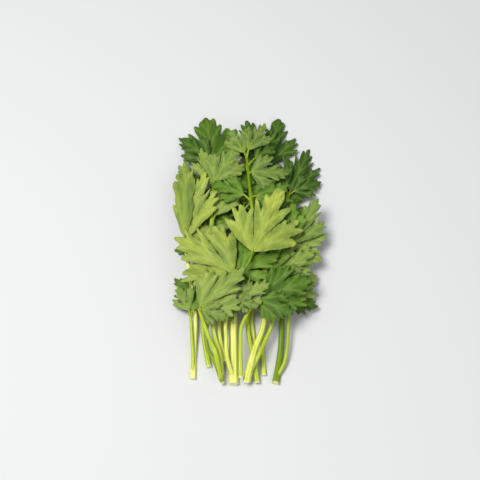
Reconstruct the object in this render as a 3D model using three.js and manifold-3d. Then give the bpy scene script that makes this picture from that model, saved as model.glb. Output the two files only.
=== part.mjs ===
// A bunch of cut flat-leaf parsley, lying down, in millimetres. +Z is up and +Y runs from the cut ends to
// the leaf tips. Each leafy stem is one solid: its stalks, its thin leaf necks and its cut, arched
// leaflets are fused. The stalks are laid one after another, from the lowest to the uppermost. Each one
// comes to rest above whatever already lies below it, so no leafy stem cuts through another.
import * as THREE from "three";
import { mergeVertices } from "three/addons/utils/BufferGeometryUtils.js";
import Module from "manifold-3d";

const { clamp, degToRad: radians, lerp, mapLinear } = THREE.MathUtils;

// ---------- driving dimensions, in millimetres and degrees ----------
const BLADE = 0.7; // thickness of a leaflet, square to its surface
const STEEPEST_BLADE = 0.62; // a blade is thickened upright as if its normal never pointed up by less
const CLEARANCE = 0.7; // least height left between what lies crosswise
const CELL = 0.5; // side of the squares that the pile's height is kept in
const FIELD = { x: 60, y: 95 }; // half the width and length of the ground that the pile covers
const NECK_RADIUS = 0.75; // thin stalk of a leaflet
const STALK_SIDES = 6;
const NECK_SIDES = 4;
const STALK_STEP = 9; // distance between the rings of a stalk
const LYING = 12; // length of a stalk that lies flat behind its cut end
const FORK_REACH = 26; // a fork may touch its own stem over this length
const LEAFLET_REACH = 8; // leaflets of one leaf may touch each other this near to where they join
const ROOT = 1.2; // how far a leaflet's neck is sunk into its base
const DROOP = -0.12; // fall per mm that a leaflet takes where nothing is below it
const STEEPEST = 0.25; // rise per mm that a leaflet takes before its stalk is lifted
const FIRM = 0.8; // share of a leaflet's squares that its stiff shape clears; the rest bend it locally
const NECK_FREE = 0.3; // first share of a leaflet's neck that the stalk's own height looks after
const LEAST_REACH = 3; // nearer to its stalk than this, a leaflet's slope is measured over this length
const STEPS_PER_MM = 1.2; // points along a stalk while it is laid
const STALK_MARGIN = 0.2; // width kept clear beside a stalk
const SIDE_STEPS = 1.5; // points per square along a face's side
const LIFTS = 14; // most rounds of lifting a leaflet's corners
const SETTLES = 300; // rounds of springing a stalk into a smooth line
const RING_LIFTS = 40; // rounds of lifting a stalk's rings
const MIDRIB = 2; // width over which a leaflet's fold is rounded
const CURL_FROM = 0.35; // share of a leaflet's length at which its curl begins
const WAVES = 3; // waves round a leaflet's edge
const UNEVEN = { angle: 1.2, share: 0.05 }; // how far chance moves an outline's points
const FOLD = { middle: 0.1, range: 0.04 }; // rise per mm beside the midrib
const CURL = { middle: 0.2, range: 0.1 }; // how strongly the tip bends down
const WAVE = { middle: 0.05, range: 0.02 }; // height of the edge's waves, as a share of the length
const SEED = { stalk: 101, leaflet: 7, first: 5 }; // steps between the seeds of the leaflets' chances
const BACK = { fall: 9, halfWidth: 42, endFall: 5, middle: 8, halfLength: 70 }; // rounded back of the bunch

// Leaflet outlines for one half, from beside the tip to the lowest tooth: [degrees from the midrib, share
// of length]. gap is the number of the point in the cut between the middle lobe and the side lobe. ribs
// are the middles of the middle lobe and of the side lobes, as shares of the length, and ribAngle is where
// the side ribs stand.
const OUTLINES = {
  large: {
    half: [[5, 0.91], [10, 0.9], [12, 0.71], [21, 0.79], [18, 0.23], [26, 0.64], [32, 0.61], [40, 0.73],
      [45, 0.64], [52, 0.7], [56, 0.54], [67, 0.59], [78, 0.3]],
    gap: 4,
    ribs: [0.58, 0.42],
    ribAngle: 47,
  },
  full: {
    half: [[5, 0.94], [10, 0.93], [13, 0.82], [20, 0.87], [22, 0.6], [30, 0.82], [36, 0.74], [44, 0.82],
      [50, 0.66], [58, 0.7], [64, 0.54], [74, 0.56], [84, 0.3]],
    gap: 4,
    ribs: [0.58, 0.42],
    ribAngle: 47,
  },
  medium: {
    half: [[6, 0.87], [12, 0.88], [15, 0.68], [24, 0.76], [19, 0.27], [28, 0.64], [35, 0.6], [44, 0.73],
      [50, 0.58], [63, 0.61], [76, 0.31]],
    gap: 4,
    ribs: [0.58, 0.42],
    ribAngle: 46,
  },
  small: {
    half: [[8, 0.8], [19, 0.84], [21, 0.36], [40, 0.75], [47, 0.56], [63, 0.58], [75, 0.3]],
    gap: 2,
    ribs: [0.56, 0.41],
    ribAngle: 46,
  },
  long: {
    half: [[2.5, 0.95], [5, 0.93], [5.5, 0.85], [9, 0.83], [9, 0.75], [12.5, 0.69], [15, 0.5], [20, 0.34],
      [27, 0.22]],
    gap: 5,
    ribs: [0.6, 0.3],
    ribAngle: 10,
  },
};

// The stalks in the order in which they are laid. The first point of a way is the cut end, unless the
// stalk comes from another one, which it leaves at that stalk's point number "at". The way is the run of
// the stalk seen from above, up to where its leaf opens, and height is the least height there. arch is how
// far the leaf follows the bunch's rounded back. A leaflet is [distance back from the stalk's end,
// heading, length, neck, spread, side that shows, outline]: heading 0 is +X and 90 is +Y, and side 1 is
// the upper side and -1 the paler back.
const STALKS = [
  { name: "far_left", stem: "sprig_01", radius: [1.5, 1], height: 5, arch: 0.25,
    way: [[-15, -70], [-15.4, -55], [-15.6, -40], [-17, 0], [-19, 30], [-20, 51]],
    leaf: [[0, 98, 30, 2.5, 0.92, 1, "full"], [0, 138, 24, 3, 0.7, 1, "medium"],
      [14, 152, 19, 5, 0.75, 1, "medium"], [14, 38, 22, 5, 0.75, 1, "medium"],
      [30, 30, 24, 6, 0.75, 1, "medium"], [30, 150, 20, 6, 0.75, 1, "medium"]] },
  { name: "far_middle", stem: "sprig_02", radius: [1.4, 0.9], height: 5, arch: 0.25,
    way: [[1, -70], [2, -55], [1, -40], [2, 0], [7, 26], [10, 46]],
    leaf: [[0, 78, 31, 6, 0.75, 1, "large"], [0, 108, 31, 6, 0.75, 1, "large"],
      [13, 142, 23, 6, 0.8, 1, "medium"], [13, 12, 23, 6, 0.8, 1, "medium"],
      [27, 28, 24, 6, 0.75, 1, "medium"], [27, 152, 22, 6, 0.75, 1, "medium"]] },
  { name: "far_right", stem: "sprig_03", radius: [1.4, 0.9], height: 6, arch: 0.4,
    way: [[4, -76.5], [0.5, -56], [-1, -41], [3, -12], [13, 12], [22, 31]],
    leaf: [[0, 68, 32, 2, 0.6, 1, "large"], [0, 26, 18, 3, 0.75, 1, "medium"],
      [0, 118, 23, 3, 0.7, 1, "medium"], [13, -14, 17, 5, 0.75, 1, "medium"],
      [12, 132, 18, 5, 0.75, 1, "medium"]] },
  { name: "low_left", stem: "sprig_04", radius: [1.4, 0.9], height: 5, arch: 0.4,
    way: [[-21, -68], [-24, -52], [-25, -35], [-26, -8], [-26, 12]],
    leaf: [[0, 97, 29, 3, 0.7, 1, "large"], [0, 150, 14, 3, 0.8, 1, "medium"],
      [0, 42, 25, 3, 0.75, 1, "medium"], [14, 178, 12, 3, 0.8, 1, "small"],
      [14, -8, 25, 5, 0.75, 1, "medium"], [28, 20, 20, 5, 0.75, 1, "medium"],
      [44, 138, 18, 3, 0.8, 1, "medium"]] },
  { name: "inner", stem: "sprig_13", radius: [1.3, 0.9], height: 8, arch: 0.4,
    way: [[-12.6, -66], [-15.4, -54], [-15.4, -40], [-10, -10], [-3, 21]],
    leaf: [[0, 83, 29, 2, 0.75, 1, "large"], [0, 138, 22, 3, 0.75, 1, "medium"],
      [0, 28, 25, 3, 0.8, 1, "large"], [13, -6, 20, 4, 0.75, 1, "medium"],
      [13, 168, 20, 4, 0.75, 1, "medium"]] },
  { name: "low_right", stem: "sprig_05", radius: [1.3, 0.9], height: 6, arch: 0.4,
    way: [[7.5, -72.5], [7, -62], [6.8, -50], [10, -30], [15, -6]],
    leaf: [[0, 80, 28, 3, 0.75, 1, "large"], [0, 28, 24, 3, 0.75, 1, "medium"],
      [0, 135, 25, 3, 0.75, 1, "medium"], [13, -28, 20, 5, 0.8, 1, "medium"],
      [13, 172, 21, 5, 0.75, 1, "medium"]] },
  { name: "right", stem: "sprig_06", radius: [1.8, 1.1], height: 9, arch: 0.7,
    way: [[13.4, -77], [16.2, -60], [17.4, -42], [20, -24], [22, -6]],
    leaf: [[0, 28, 21, 2, 0.8, -1, "large"], [0, 62, 30, 4, 0.6, -1, "large"],
      [0, 88, 24, 4, 0.55, 1, "medium"], [0, 128, 22, 4, 0.75, 1, "medium"],
      [4, -4, 16, 2, 0.85, -1, "medium"]] },
  { name: "right_low", stem: "sprig_06", from: "right", at: 4, radius: [1.1, 0.8], height: 7, arch: 0.7,
    way: [[17, -69], [19.3, -61], [20.2, -50], [20.5, -41], [21, -33]],
    leaf: [[0, -8, 15, 1, 0.85, 1, "medium"], [0, 46, 21, 2, 0.7, -1, "medium"]] },
  { name: "upper_left", stem: "sprig_08", radius: [1.5, 0.9], height: 12, arch: 0.6,
    way: [[-14.8, -73], [-15.8, -62], [-18.7, -52], [-19.8, -40], [-21, -8], [-19.5, 33]],
    leaf: [[8, 18, 20, 4, 0.8, 1, "medium"], [24, 62, 24, 4, 0.6, -1, "medium"],
      [0, 106, 27, 1, 0.5, -1, "medium"], [0, 62, 28, 1, 0.7, -1, "large"]] },
  { name: "left", stem: "sprig_07", radius: [1.5, 1], height: 10, arch: 0.7,
    way: [[-29.5, -74.5], [-29, -57], [-28.7, -40], [-31.5, -20], [-35, 0]],
    leaf: [[7, 32, 25, 3, 0.7, -1, "medium"], [0, 75, 40, 2, 0.5, -1, "large"],
      [0, 91, 49, 2.5, 0.74, -1, "long"]] },
  { name: "left_low", stem: "sprig_07", from: "left", at: 3, radius: [1, 0.8], height: 7, arch: 0.7,
    way: [[-29.4, -64], [-30.2, -54], [-30.5, -46], [-31, -41]],
    leaf: [[0, 62, 20, 2, 0.6, 1, "medium"], [0, 113, 18, 2, 0.6, -1, "medium"]] },
  { name: "upper_middle", stem: "sprig_09", radius: [1.9, 0.75], height: 16, arch: 0.5,
    way: [[-1.6, -76.5], [3.6, -58], [8, -43], [8, -15], [2, 14], [-1.5, 50]],
    leaf: [[5, 38, 14, 6, 0.8, 1, "small"], [0, 116, 21, 2, 0.55, -1, "large"],
      [0, 67, 24.5, 3, 0.55, -1, "large"], [11.5, 3, 21, 1.5, 0.85, -1, "large"],
      [25.5, -12, 21, 3, 0.8, 1, "medium"], [27.5, 158, 20, 4, 0.75, 1, "medium"]] },
  { name: "lower_right", stem: "sprig_09", from: "upper_middle", at: 4,
    radius: [1.2, 0.8], height: 11, arch: 0.7,
    way: [[4.4, -65], [8, -56], [12, -46], [14, -33], [13, -21]],
    leaf: [[0, 33, 25, 1.5, 0.65, -1, "large"], [0, 88, 20, 3, 0.75, 1, "medium"],
      [2, -8, 20, 2, 0.75, -1, "medium"]] },
  { name: "middle", stem: "sprig_10", radius: [2.5, 1.6], height: 13, arch: 0.6,
    way: [[-8.4, -77.5], [-8.4, -60], [-8.6, -43], [-8.6, -30], [-7.5, -21]],
    leaf: [[0, 74, 24, 3, 0.7, 1, "medium"], [0, 22, 22, 3, 0.85, 1, "large"],
      [0, 145, 39, 1, 0.82, -1, "large"]] },
  { name: "centre", stem: "sprig_11", radius: [1.1, 0.9], height: 19, arch: 0.6,
    way: [[-14, -77], [-19, -66], [-23, -55], [-18, -40], [-10, -30], [-4.5, -24], [1.3, -15]],
    leaf: [[0, 71, 44.5, 0.5, 0.75, -1, "large"]] },
  { name: "near_right", stem: "sprig_12", radius: [1.2, 0.9], height: 13, arch: 0.7,
    way: [[-4.6, -76], [-4.8, -60], [-3.6, -47], [4, -35]],
    leaf: [[0, 19, 28, 2.5, 0.7, 1, "full"], [0, -28, 20, 0.5, 0.7, 1, "full"]] },
  { name: "middle_low", stem: "sprig_10", from: "middle", at: 3, radius: [1.3, 0.9], height: 14, arch: 0.6,
    way: [[-10.9, -71], [-11.8, -62], [-12.4, -46], [-8, -37]],
    leaf: [[0, 25, 19, 2, 0.72, -1, "large"], [0, -14, 11.5, 2, 0.8, -1, "medium"],
      [3, -92, 7, 1, 0.9, 1, "small"]] },
  { name: "near_left", stem: "sprig_11", from: "centre", at: 3, radius: [1.4, 0.9], height: 14, arch: 0.7,
    way: [[-17.2, -66], [-20.3, -58], [-24, -48], [-26.5, -40.5]],
    leaf: [[0, 39, 30, 1, 0.85, -1, "large"], [0, -24, 16, 1.5, 0.7, -1, "medium"]] },
];

const COLOURS = { light: 0x8fae45, deep: 0x4f7f34 };

// ---------- plan geometry ----------
const CHANCE = { factor: 1664525, step: 1013904223, range: 2 ** 32 };

// A repeatable stream of numbers between -1 and 1.
function draws(seed) {
  let state = seed;
  return () => {
    state = (state * CHANCE.factor + CHANCE.step) % CHANCE.range;
    return (state / CHANCE.range) * 2 - 1;
  };
}

// Height of the bunch's rounded back, below its highest point.
function backHeight(x, y) {
  const side = Math.abs(x) / BACK.halfWidth;
  const end = Math.abs(y - BACK.middle) / BACK.halfLength;
  return -BACK.fall * side ** 2.5 - BACK.endFall * end ** 4;
}

// Points along a smooth line through the way, about one millimetre apart.
function stepsAlong(way) {
  const through = way.map(([x, y]) => new THREE.Vector3(x, y, 0));
  const curve = new THREE.CatmullRomCurve3(through, false, "catmullrom", 0.5);
  let length = 0;
  for (let i = 1; i < way.length; i++) length += through[i].distanceTo(through[i - 1]);
  const count = Math.ceil(length * STEPS_PER_MM);
  return Array.from({ length: count + 1 }, (_, i) => curve.getPoint(i / count));
}

// ---------- one leaflet ----------
// Flat outline and faces: points [across, along] in millimetres, ribs first, then the outline from the
// base round.
function leafletPlan(length, spread, kind, random) {
  const { half, gap, ribs, ribAngle } = OUTLINES[kind];
  const at = (angle, share) => {
    const a = radians(angle * spread);
    return [Math.sin(a) * share * length, Math.cos(a) * share * length];
  };
  const uneven = ([angle, share], sign) =>
    at(sign * (angle + UNEVEN.angle * random()), share * (1 + UNEVEN.share * random()));
  const side = (sign) => half.map((point) => uneven(point, sign));
  const right = side(1);
  const left = side(-1);
  const outline = [[0, 0], ...right.reverse(), at(0, 1), ...left];
  const points = [at(0, ribs[0]), at(ribAngle, ribs[1]), at(-ribAngle, ribs[1]), ...outline];
  const first = 3; // index of the base point
  const rightGap = first + half.length - gap;
  const leftGap = first + half.length + 2 + gap;
  const last = points.length - 1;
  const faces = [[first, 1, rightGap], [first, rightGap, 0], [first, 0, leftGap], [first, leftGap, 2]];
  for (let i = first; i < last; i++) {
    const rib = i < rightGap ? 1 : i < leftGap ? 0 : 2;
    faces.push([rib, i, i + 1]);
  }
  faces.push([2, last, first]);
  return { points, faces, base: first };
}

// How far a point of the blade stands above its own flat plan: a fold along the midrib, a curl of the tip,
// and waves.
function bladeShape(across, along, length, side, shape) {
  const reach = Math.hypot(across, along) / length;
  const angle = Math.atan2(across, along);
  const fold = side * shape.fold * Math.hypot(across, MIDRIB);
  const curl = -shape.curl * length * Math.max(0, reach - CURL_FROM) ** 2;
  const wave = shape.wave * length * reach * reach * Math.sin(WAVES * angle + shape.phase);
  return fold + curl + wave;
}

// A leaflet that leaves its stalk at `from`: for each point its place seen from above, its distance from
// the stalk and how far its stiff shape stands above the stalk there.
function leafletAt([, heading, length, neck, spread, side, kind], from, arch, seed) {
  const random = draws(seed);
  const plan = leafletPlan(length, spread, kind, random);
  const own = ({ middle, range }) => middle + range * random();
  const shape = { fold: own(FOLD), curl: own(CURL), wave: own(WAVE), phase: 3 * random() };
  const a = radians(heading);
  const level = bladeShape(0, 0, length, side, shape) + arch * backHeight(from.x, from.y);
  const points = plan.points.map(([across, along]) => {
    const out = along + neck;
    const x = from.x + Math.cos(a) * out + Math.sin(a) * across;
    const y = from.y + Math.sin(a) * out - Math.cos(a) * across;
    const rise = bladeShape(across, along, length, side, shape) + arch * backHeight(x, y) - level;
    return { x, y, reach: Math.hypot(out, across), rise, half: BLADE / 2 };
  });
  const leaflet = { from, points, faces: plan.faces, base: plan.base };
  leaflet.squares = plan.faces.flatMap((face) => coveredSquares(face, points));
  leaflet.neckSquares = neckSquares(from, points[plan.base]);
  return leaflet;
}

// ---------- the pile ----------
const columns = (2 * FIELD.x) / CELL;
const rows = (2 * FIELD.y) / CELL;
const pile = {
  top: new Float64Array(columns * rows).fill(-CLEARANCE), // so that the lowest leaves may touch the ground
  owner: new Array(columns * rows).fill(null),
};

const squareAt = (x, y) => Math.floor((y + FIELD.y) / CELL) * columns + Math.floor((x + FIELD.x) / CELL);

// Every square that a face covers or touches, with the share of each of its three corners in the height
// there.
function coveredSquares(face, points) {
  const [a, b, c] = face.map((i) => points[i]);
  const squares = [];
  const take = (x, y, shares) => squares.push({ square: squareAt(x, y), corners: face, shares });
  const det = (b.x - a.x) * (c.y - a.y) - (c.x - a.x) * (b.y - a.y);
  const low = (k) => Math.floor(Math.min(a[k], b[k], c[k]) / CELL);
  const high = (k) => Math.floor(Math.max(a[k], b[k], c[k]) / CELL);
  for (let ix = low("x"); ix <= high("x"); ix++)
    for (let iy = low("y"); iy <= high("y"); iy++) {
      const x = (ix + 0.5) * CELL;
      const y = (iy + 0.5) * CELL;
      const v = ((x - a.x) * (c.y - a.y) - (c.x - a.x) * (y - a.y)) / det;
      const w = ((b.x - a.x) * (y - a.y) - (x - a.x) * (b.y - a.y)) / det;
      if (v >= 0 && w >= 0 && v + w <= 1) take(x, y, [1 - v - w, v, w]);
    }
  for (let k = 0; k < 3; k++) {
    const p = points[face[k]];
    const q = points[face[(k + 1) % 3]];
    const steps = Math.ceil((SIDE_STEPS * Math.hypot(q.x - p.x, q.y - p.y)) / CELL);
    for (let i = 0; i <= steps; i++) {
      const shares = [0, 0, 0];
      shares[k] = 1 - i / steps;
      shares[(k + 1) % 3] = i / steps;
      take(lerp(p.x, q.x, i / steps), lerp(p.y, q.y, i / steps), shares);
    }
  }
  return squares;
}

// The squares under a leaflet's neck, with the share of the way from the stalk to the leaflet's base.
function neckSquares(from, base) {
  const steps = Math.ceil(base.reach / CELL);
  return Array.from({ length: steps + 1 }, (_, i) => {
    const share = i / steps;
    const square = squareAt(lerp(from.x, base.x, share), lerp(from.y, base.y, share));
    return { square, share };
  });
}

// Squares across a stalk at one of its points.
function acrossStalk(p, before, after, radius) {
  const dx = after.x - before.x;
  const dy = after.y - before.y;
  const length = Math.hypot(dx, dy);
  const reach = radius + STALK_MARGIN;
  const steps = Math.ceil(reach / CELL);
  const offsets = Array.from({ length: 2 * steps + 1 }, (_, i) => ((i - steps) / steps) * reach);
  return offsets.map((o) => squareAt(p.x - (dy / length) * o, p.y + (dx / length) * o));
}

// The value that the given share of the list stays under.
function quantile(values, share) {
  return values.toSorted((a, b) => a - b)[Math.floor(share * (values.length - 1))];
}

function blend(item, points, key) {
  return item.corners.reduce((sum, corner, k) => sum + item.shares[k] * points[corner][key], 0);
}

// Half of the blade's upright thickness at each corner, so that its thickness square to the surface stays
// the same.
function thicken({ points, faces }) {
  const normals = points.map(() => new THREE.Vector3());
  for (const face of faces) {
    const [a, b, c] = face.map((i) => new THREE.Vector3(points[i].x, points[i].y, points[i].z));
    const normal = b.sub(a).cross(c.sub(a));
    for (const i of face) normals[i].add(normal);
  }
  points.forEach((p, i) => {
    p.half = BLADE / 2 / Math.max(Math.abs(normals[i].normalize().z), STEEPEST_BLADE);
  });
}

// Lays one leaflet from a stalk at height z: its stiff shape clears most of what is below, then the
// corners that are still too low are lifted until the rest is clear.
function layLeaflet(leaflet, z, stalk) {
  const { points, squares, neckSquares: under, base } = leaflet;
  const own = (square, reach) => pile.owner[square] === stalk && reach < LEAFLET_REACH;
  const parts = squares.filter((item) => !own(item.square, blend(item, points, "reach")));
  const floor = parts.map((item) => pile.top[item.square] + CLEARANCE);
  const slopes = parts.map((item, i) => {
    const short = floor[i] + BLADE / 2 - z - blend(item, points, "rise");
    return short / Math.max(blend(item, points, "reach"), LEAST_REACH);
  });
  const slope = clamp(quantile(slopes, FIRM), DROOP, STEEPEST);
  for (const p of points) p.z = z + p.rise + slope * p.reach;
  for (let round = 0; round < LIFTS; round++) {
    thicken(leaflet);
    const lift = points.map(() => 0);
    parts.forEach((item, i) => {
      const short = floor[i] + blend(item, points, "half") - blend(item, points, "z");
      if (short <= 0) return;
      const square = item.shares.reduce((sum, s) => sum + s * s, 0);
      item.corners.forEach((corner, k) => {
        lift[corner] = Math.max(lift[corner], (short * item.shares[k]) / square);
      });
    });
    for (const { square, share } of under) {
      const short = pile.top[square] + CLEARANCE + NECK_RADIUS - lerp(z, points[base].z, share);
      if (share > NECK_FREE && !own(square, 0)) lift[base] = Math.max(lift[base], short / share);
    }
    points.forEach((p, i) => (p.z += lift[i]));
  }
  thicken(leaflet);
  for (const item of squares)
    cover(item.square, blend(item, points, "z") + blend(item, points, "half"), stalk);
  for (const { square, share } of under)
    cover(square, lerp(z, points[base].z, share) + NECK_RADIUS, stalk);
  leaflet.joint = z;
}

function cover(square, z, stalk) {
  if (z <= pile.top[square]) return;
  pile.top[square] = z;
  pile.owner[square] = stalk;
}

// Lays one stalk and then its leaflets.
function layStalk(stalk, laid, index) {
  const parent = stalk.from && laid.get(stalk.from);
  const start = parent && parent.points[stalk.at];
  const points = stepsAlong(start ? [[start.x, start.y], ...stalk.way] : stalk.way);
  const last = points.length - 1;
  const radiusAt = (i) => lerp(stalk.radius[0], stalk.radius[1], i / last);
  const below = (i) => Math.sin(Math.PI / 3) * radiusAt(i);
  const across = points.map((p, i) =>
    acrossStalk(p, points[Math.max(i - 1, 0)], points[Math.min(i + 1, last)], radiusAt(i)));
  const walked = points.map(() => 0);
  for (let i = 1; i <= last; i++) walked[i] = walked[i - 1] + points[i].distanceTo(points[i - 1]);

  // Least heights, first over what lies below the stalk, then as the leaflets need.
  const least = points.map((p, i) => {
    const own = (square) => parent && walked[i] < FORK_REACH && pile.owner[square]?.stem === stalk.stem;
    const tops = across[i].map((square) => (own(square) ? -CLEARANCE : pile.top[square]));
    return below(i) + CLEARANCE + Math.max(...tops);
  });
  const leaflets = stalk.leaf.map((row, k) => {
    const joint = points.findIndex((p, i) => walked[last] - walked[i] <= row[0]);
    const seed = SEED.stalk * index + SEED.leaflet * k + SEED.first;
    const leaflet = leafletAt(row, points[joint], stalk.arch, seed);
    const needs = leaflet.squares.map((item) => pile.top[item.square] + CLEARANCE + BLADE / 2
      - blend(item, leaflet.points, "rise") - STEEPEST * blend(item, leaflet.points, "reach"));
    const neck = leaflet.neckSquares.map(({ square }) => pile.top[square] + CLEARANCE + NECK_RADIUS);
    least[joint] = Math.max(least[joint], quantile(needs, FIRM), quantile(neck, NECK_FREE));
    return { ...leaflet, at: joint };
  });
  least[last] = Math.max(least[last], stalk.height);

  // A springy line over those heights, flat behind the cut end.
  const lying = walked.findIndex((w) => w > LYING);
  const onGround = !start && Math.max(...least.slice(0, lying + 1)) < below(0) + 0.01;
  const flat = onGround ? lying : 0;
  const straight = (i) => mapLinear(i, flat, last, least[flat], least[last]);
  const heights = least.map((z, i) => Math.max(z, straight(i)));
  for (let i = 0; i <= flat; i++) heights[i] = start ? start.z : least[i];
  for (let round = 0; round < SETTLES; round++)
    for (let i = flat + 1; i < last; i++)
      heights[i] = Math.max(least[i], (heights[i - 1] + heights[i + 1]) / 2);

  // The rings, raised until the straight runs between them clear the same heights.
  const count = Math.max(2, Math.round(walked[last] / STALK_STEP));
  const ringAt = (i) => walked.findIndex((w) => w >= (i * walked[last]) / count);
  const rings = Array.from({ length: count }, (_, i) => ringAt(i));
  rings.push(last);
  for (let round = 0; round < RING_LIFTS; round++)
    for (let r = 0; r < count; r++)
      for (let i = rings[r]; i <= rings[r + 1]; i++) {
        const t = (i - rings[r]) / (rings[r + 1] - rings[r]);
        const short = least[i] - lerp(heights[rings[r]], heights[rings[r + 1]], t);
        if (short <= 0) continue;
        const share = short / ((1 - t) ** 2 + t ** 2);
        if (r > 0 || !start) heights[rings[r]] += share * (1 - t);
        heights[rings[r + 1]] += share * t;
      }
  for (let r = 0; r < count; r++) {
    const [from, to] = [rings[r], rings[r + 1]];
    for (let i = from + 1; i < to; i++) heights[i] = mapLinear(i, from, to, heights[from], heights[to]);
  }
  points.forEach((p, i) => (p.z = heights[i]));

  for (const leaflet of leaflets) layLeaflet(leaflet, heights[leaflet.at], stalk);
  across.forEach((squares, i) => {
    for (const square of squares) cover(square, heights[i] + below(i), stalk);
  });
  return { ...stalk, points, leaflets, radiusAt, rings };
}

// ---------- solids ----------
const WELD = 1e-4; // corners nearer than this are one
const wasm = await Module();
wasm.setup();

function geometryOf(vertices, triangles) {
  const geometry = new THREE.BufferGeometry().setFromPoints(vertices);
  geometry.setIndex(triangles.flat());
  return geometry;
}

function solidOf(geometry) {
  const merged = mergeVertices(geometry, WELD);
  return new wasm.Manifold(new wasm.Mesh({
    numProp: 3,
    vertProperties: merged.attributes.position.array,
    triVerts: new Uint32Array(merged.index.array),
  }));
}

// A closed tube of upright rings, flat below, along points that carry their own radius.
function tube(points, sides) {
  const vertices = [];
  const triangles = [];
  const last = points.length - 1;
  points.forEach((p, i) => {
    const before = points[Math.max(i - 1, 0)];
    const after = points[Math.min(i + 1, last)];
    const length = Math.hypot(after.x - before.x, after.y - before.y);
    const nx = (after.y - before.y) / length;
    const ny = -(after.x - before.x) / length;
    for (let k = 0; k < sides; k++) {
      const a = (2 * Math.PI * (k + (sides % 4 ? 0 : 0.5))) / sides;
      const out = p.radius * Math.cos(a);
      vertices.push(new THREE.Vector3(p.x + nx * out, p.y + ny * out, p.z + p.radius * Math.sin(a)));
    }
  });
  for (let i = 0; i < last; i++)
    for (let k = 0; k < sides; k++) {
      const a = i * sides + k;
      const b = i * sides + ((k + 1) % sides);
      triangles.push([a, a + sides, b], [b, a + sides, b + sides]);
    }
  const end = last * sides;
  for (let k = 1; k < sides - 1; k++) triangles.push([0, k, k + 1], [end, end + k + 1, end + k]);
  return geometryOf(vertices, triangles);
}

// A thin closed blade: the same faces above and below, joined round the outline.
function blade({ points, faces, base }) {
  const face = (side) => points.map((p) => new THREE.Vector3(p.x, p.y, p.z + side * p.half));
  const vertices = [...face(1), ...face(-1)];
  const count = points.length;
  const triangles = [];
  for (const [a, b, c] of faces) triangles.push([a, b, c], [a + count, c + count, b + count]);
  for (let i = base; i < count; i++) {
    const next = i === count - 1 ? base : i + 1;
    triangles.push([i, i + count, next], [next, i + count, next + count]);
  }
  return geometryOf(vertices, triangles);
}

function stalkTube({ points, radiusAt, rings }) {
  const ends = rings.map((i) => ({ x: points[i].x, y: points[i].y, z: points[i].z, radius: radiusAt(i) }));
  return tube(ends, STALK_SIDES);
}

// The same surface without the walls of closed pockets, so that a pocket between crossing leaflets is
// solid.
function withoutPockets({ vertProperties, triVerts }) {
  const parent = Array.from({ length: vertProperties.length / 3 }, (_, i) => i);
  const root = (i) => {
    while (parent[i] !== i) i = parent[i] = parent[parent[i]];
    return i;
  };
  for (let t = 0; t < triVerts.length; t += 3) {
    parent[root(triVerts[t + 1])] = root(triVerts[t]);
    parent[root(triVerts[t + 2])] = root(triVerts[t]);
  }
  const at = (i) => new THREE.Vector3().fromArray(vertProperties, 3 * i);
  const volume = new Map();
  for (let t = 0; t < triVerts.length; t += 3) {
    const [a, b, c] = [at(triVerts[t]), at(triVerts[t + 1]), at(triVerts[t + 2])];
    const shell = root(triVerts[t]);
    volume.set(shell, (volume.get(shell) ?? 0) + a.dot(b.cross(c)) / 6);
  }
  const kept = [];
  for (let t = 0; t < triVerts.length; t += 3)
    if (volume.get(root(triVerts[t])) > 0) kept.push(triVerts[t], triVerts[t + 1], triVerts[t + 2]);
  return { vertProperties, triVerts: kept };
}

// A leaflet's neck, from its stalk to a little way inside its blade.
function neckTube({ from, joint, points, base }) {
  const rib = points[0];
  const root = points[base];
  const share = ROOT / Math.hypot(rib.x - root.x, rib.y - root.y);
  const inside = new THREE.Vector3(root.x, root.y, root.z).lerp(rib, share);
  const ends = [new THREE.Vector3(from.x, from.y, joint), new THREE.Vector3(root.x, root.y, root.z), inside];
  return tube(ends.map((p) => ({ x: p.x, y: p.y, z: p.z, radius: NECK_RADIUS })), NECK_SIDES);
}

const laid = new Map();
STALKS.forEach((stalk, index) => laid.set(stalk.name, layStalk(stalk, laid, index)));

const bunch = new THREE.Group();
const names = [...new Set(STALKS.map((s) => s.stem))].sort();
for (const name of names) {
  const stalks = [...laid.values()].filter((s) => s.stem === name);
  const leaflets = stalks.flatMap((s) => s.leaflets);
  const pieces = [...stalks.map(stalkTube), ...leaflets.map(neckTube), ...leaflets.map(blade)];
  const solid = pieces.map(solidOf).reduce((whole, piece) => whole.add(piece));
  const { vertProperties, triVerts } = withoutPockets(solid.getMesh());
  const geometry = new THREE.BufferGeometry();
  geometry.setAttribute("position", new THREE.BufferAttribute(new Float32Array(vertProperties), 3));
  geometry.setIndex(new THREE.BufferAttribute(new Uint32Array(triVerts), 1));
  geometry.computeVertexNormals();
  const faceUp = stalks.flatMap((s) => s.leaf).reduce((sum, [, , , , , side]) => sum + side, 0);
  const color = faceUp > 0 ? COLOURS.deep : COLOURS.light;
  const material = new THREE.MeshStandardMaterial({ color, roughness: 0.6, metalness: 0 });
  const mesh = new THREE.Mesh(geometry, material);
  mesh.name = name;
  bunch.add(mesh);
}

// The origin is the middle of the bunch's box, on the surface that it lies on.
const box = new THREE.Box3().setFromObject(bunch);
const middle = box.getCenter(new THREE.Vector3());
for (const mesh of bunch.children) mesh.geometry.translate(-middle.x, -middle.y, -box.min.z);

export default bunch;
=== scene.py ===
"""Dresses the bunch of cut flat-leaf parsley in toothed leaflets and grooved stalks, and sets the stage."""

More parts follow.
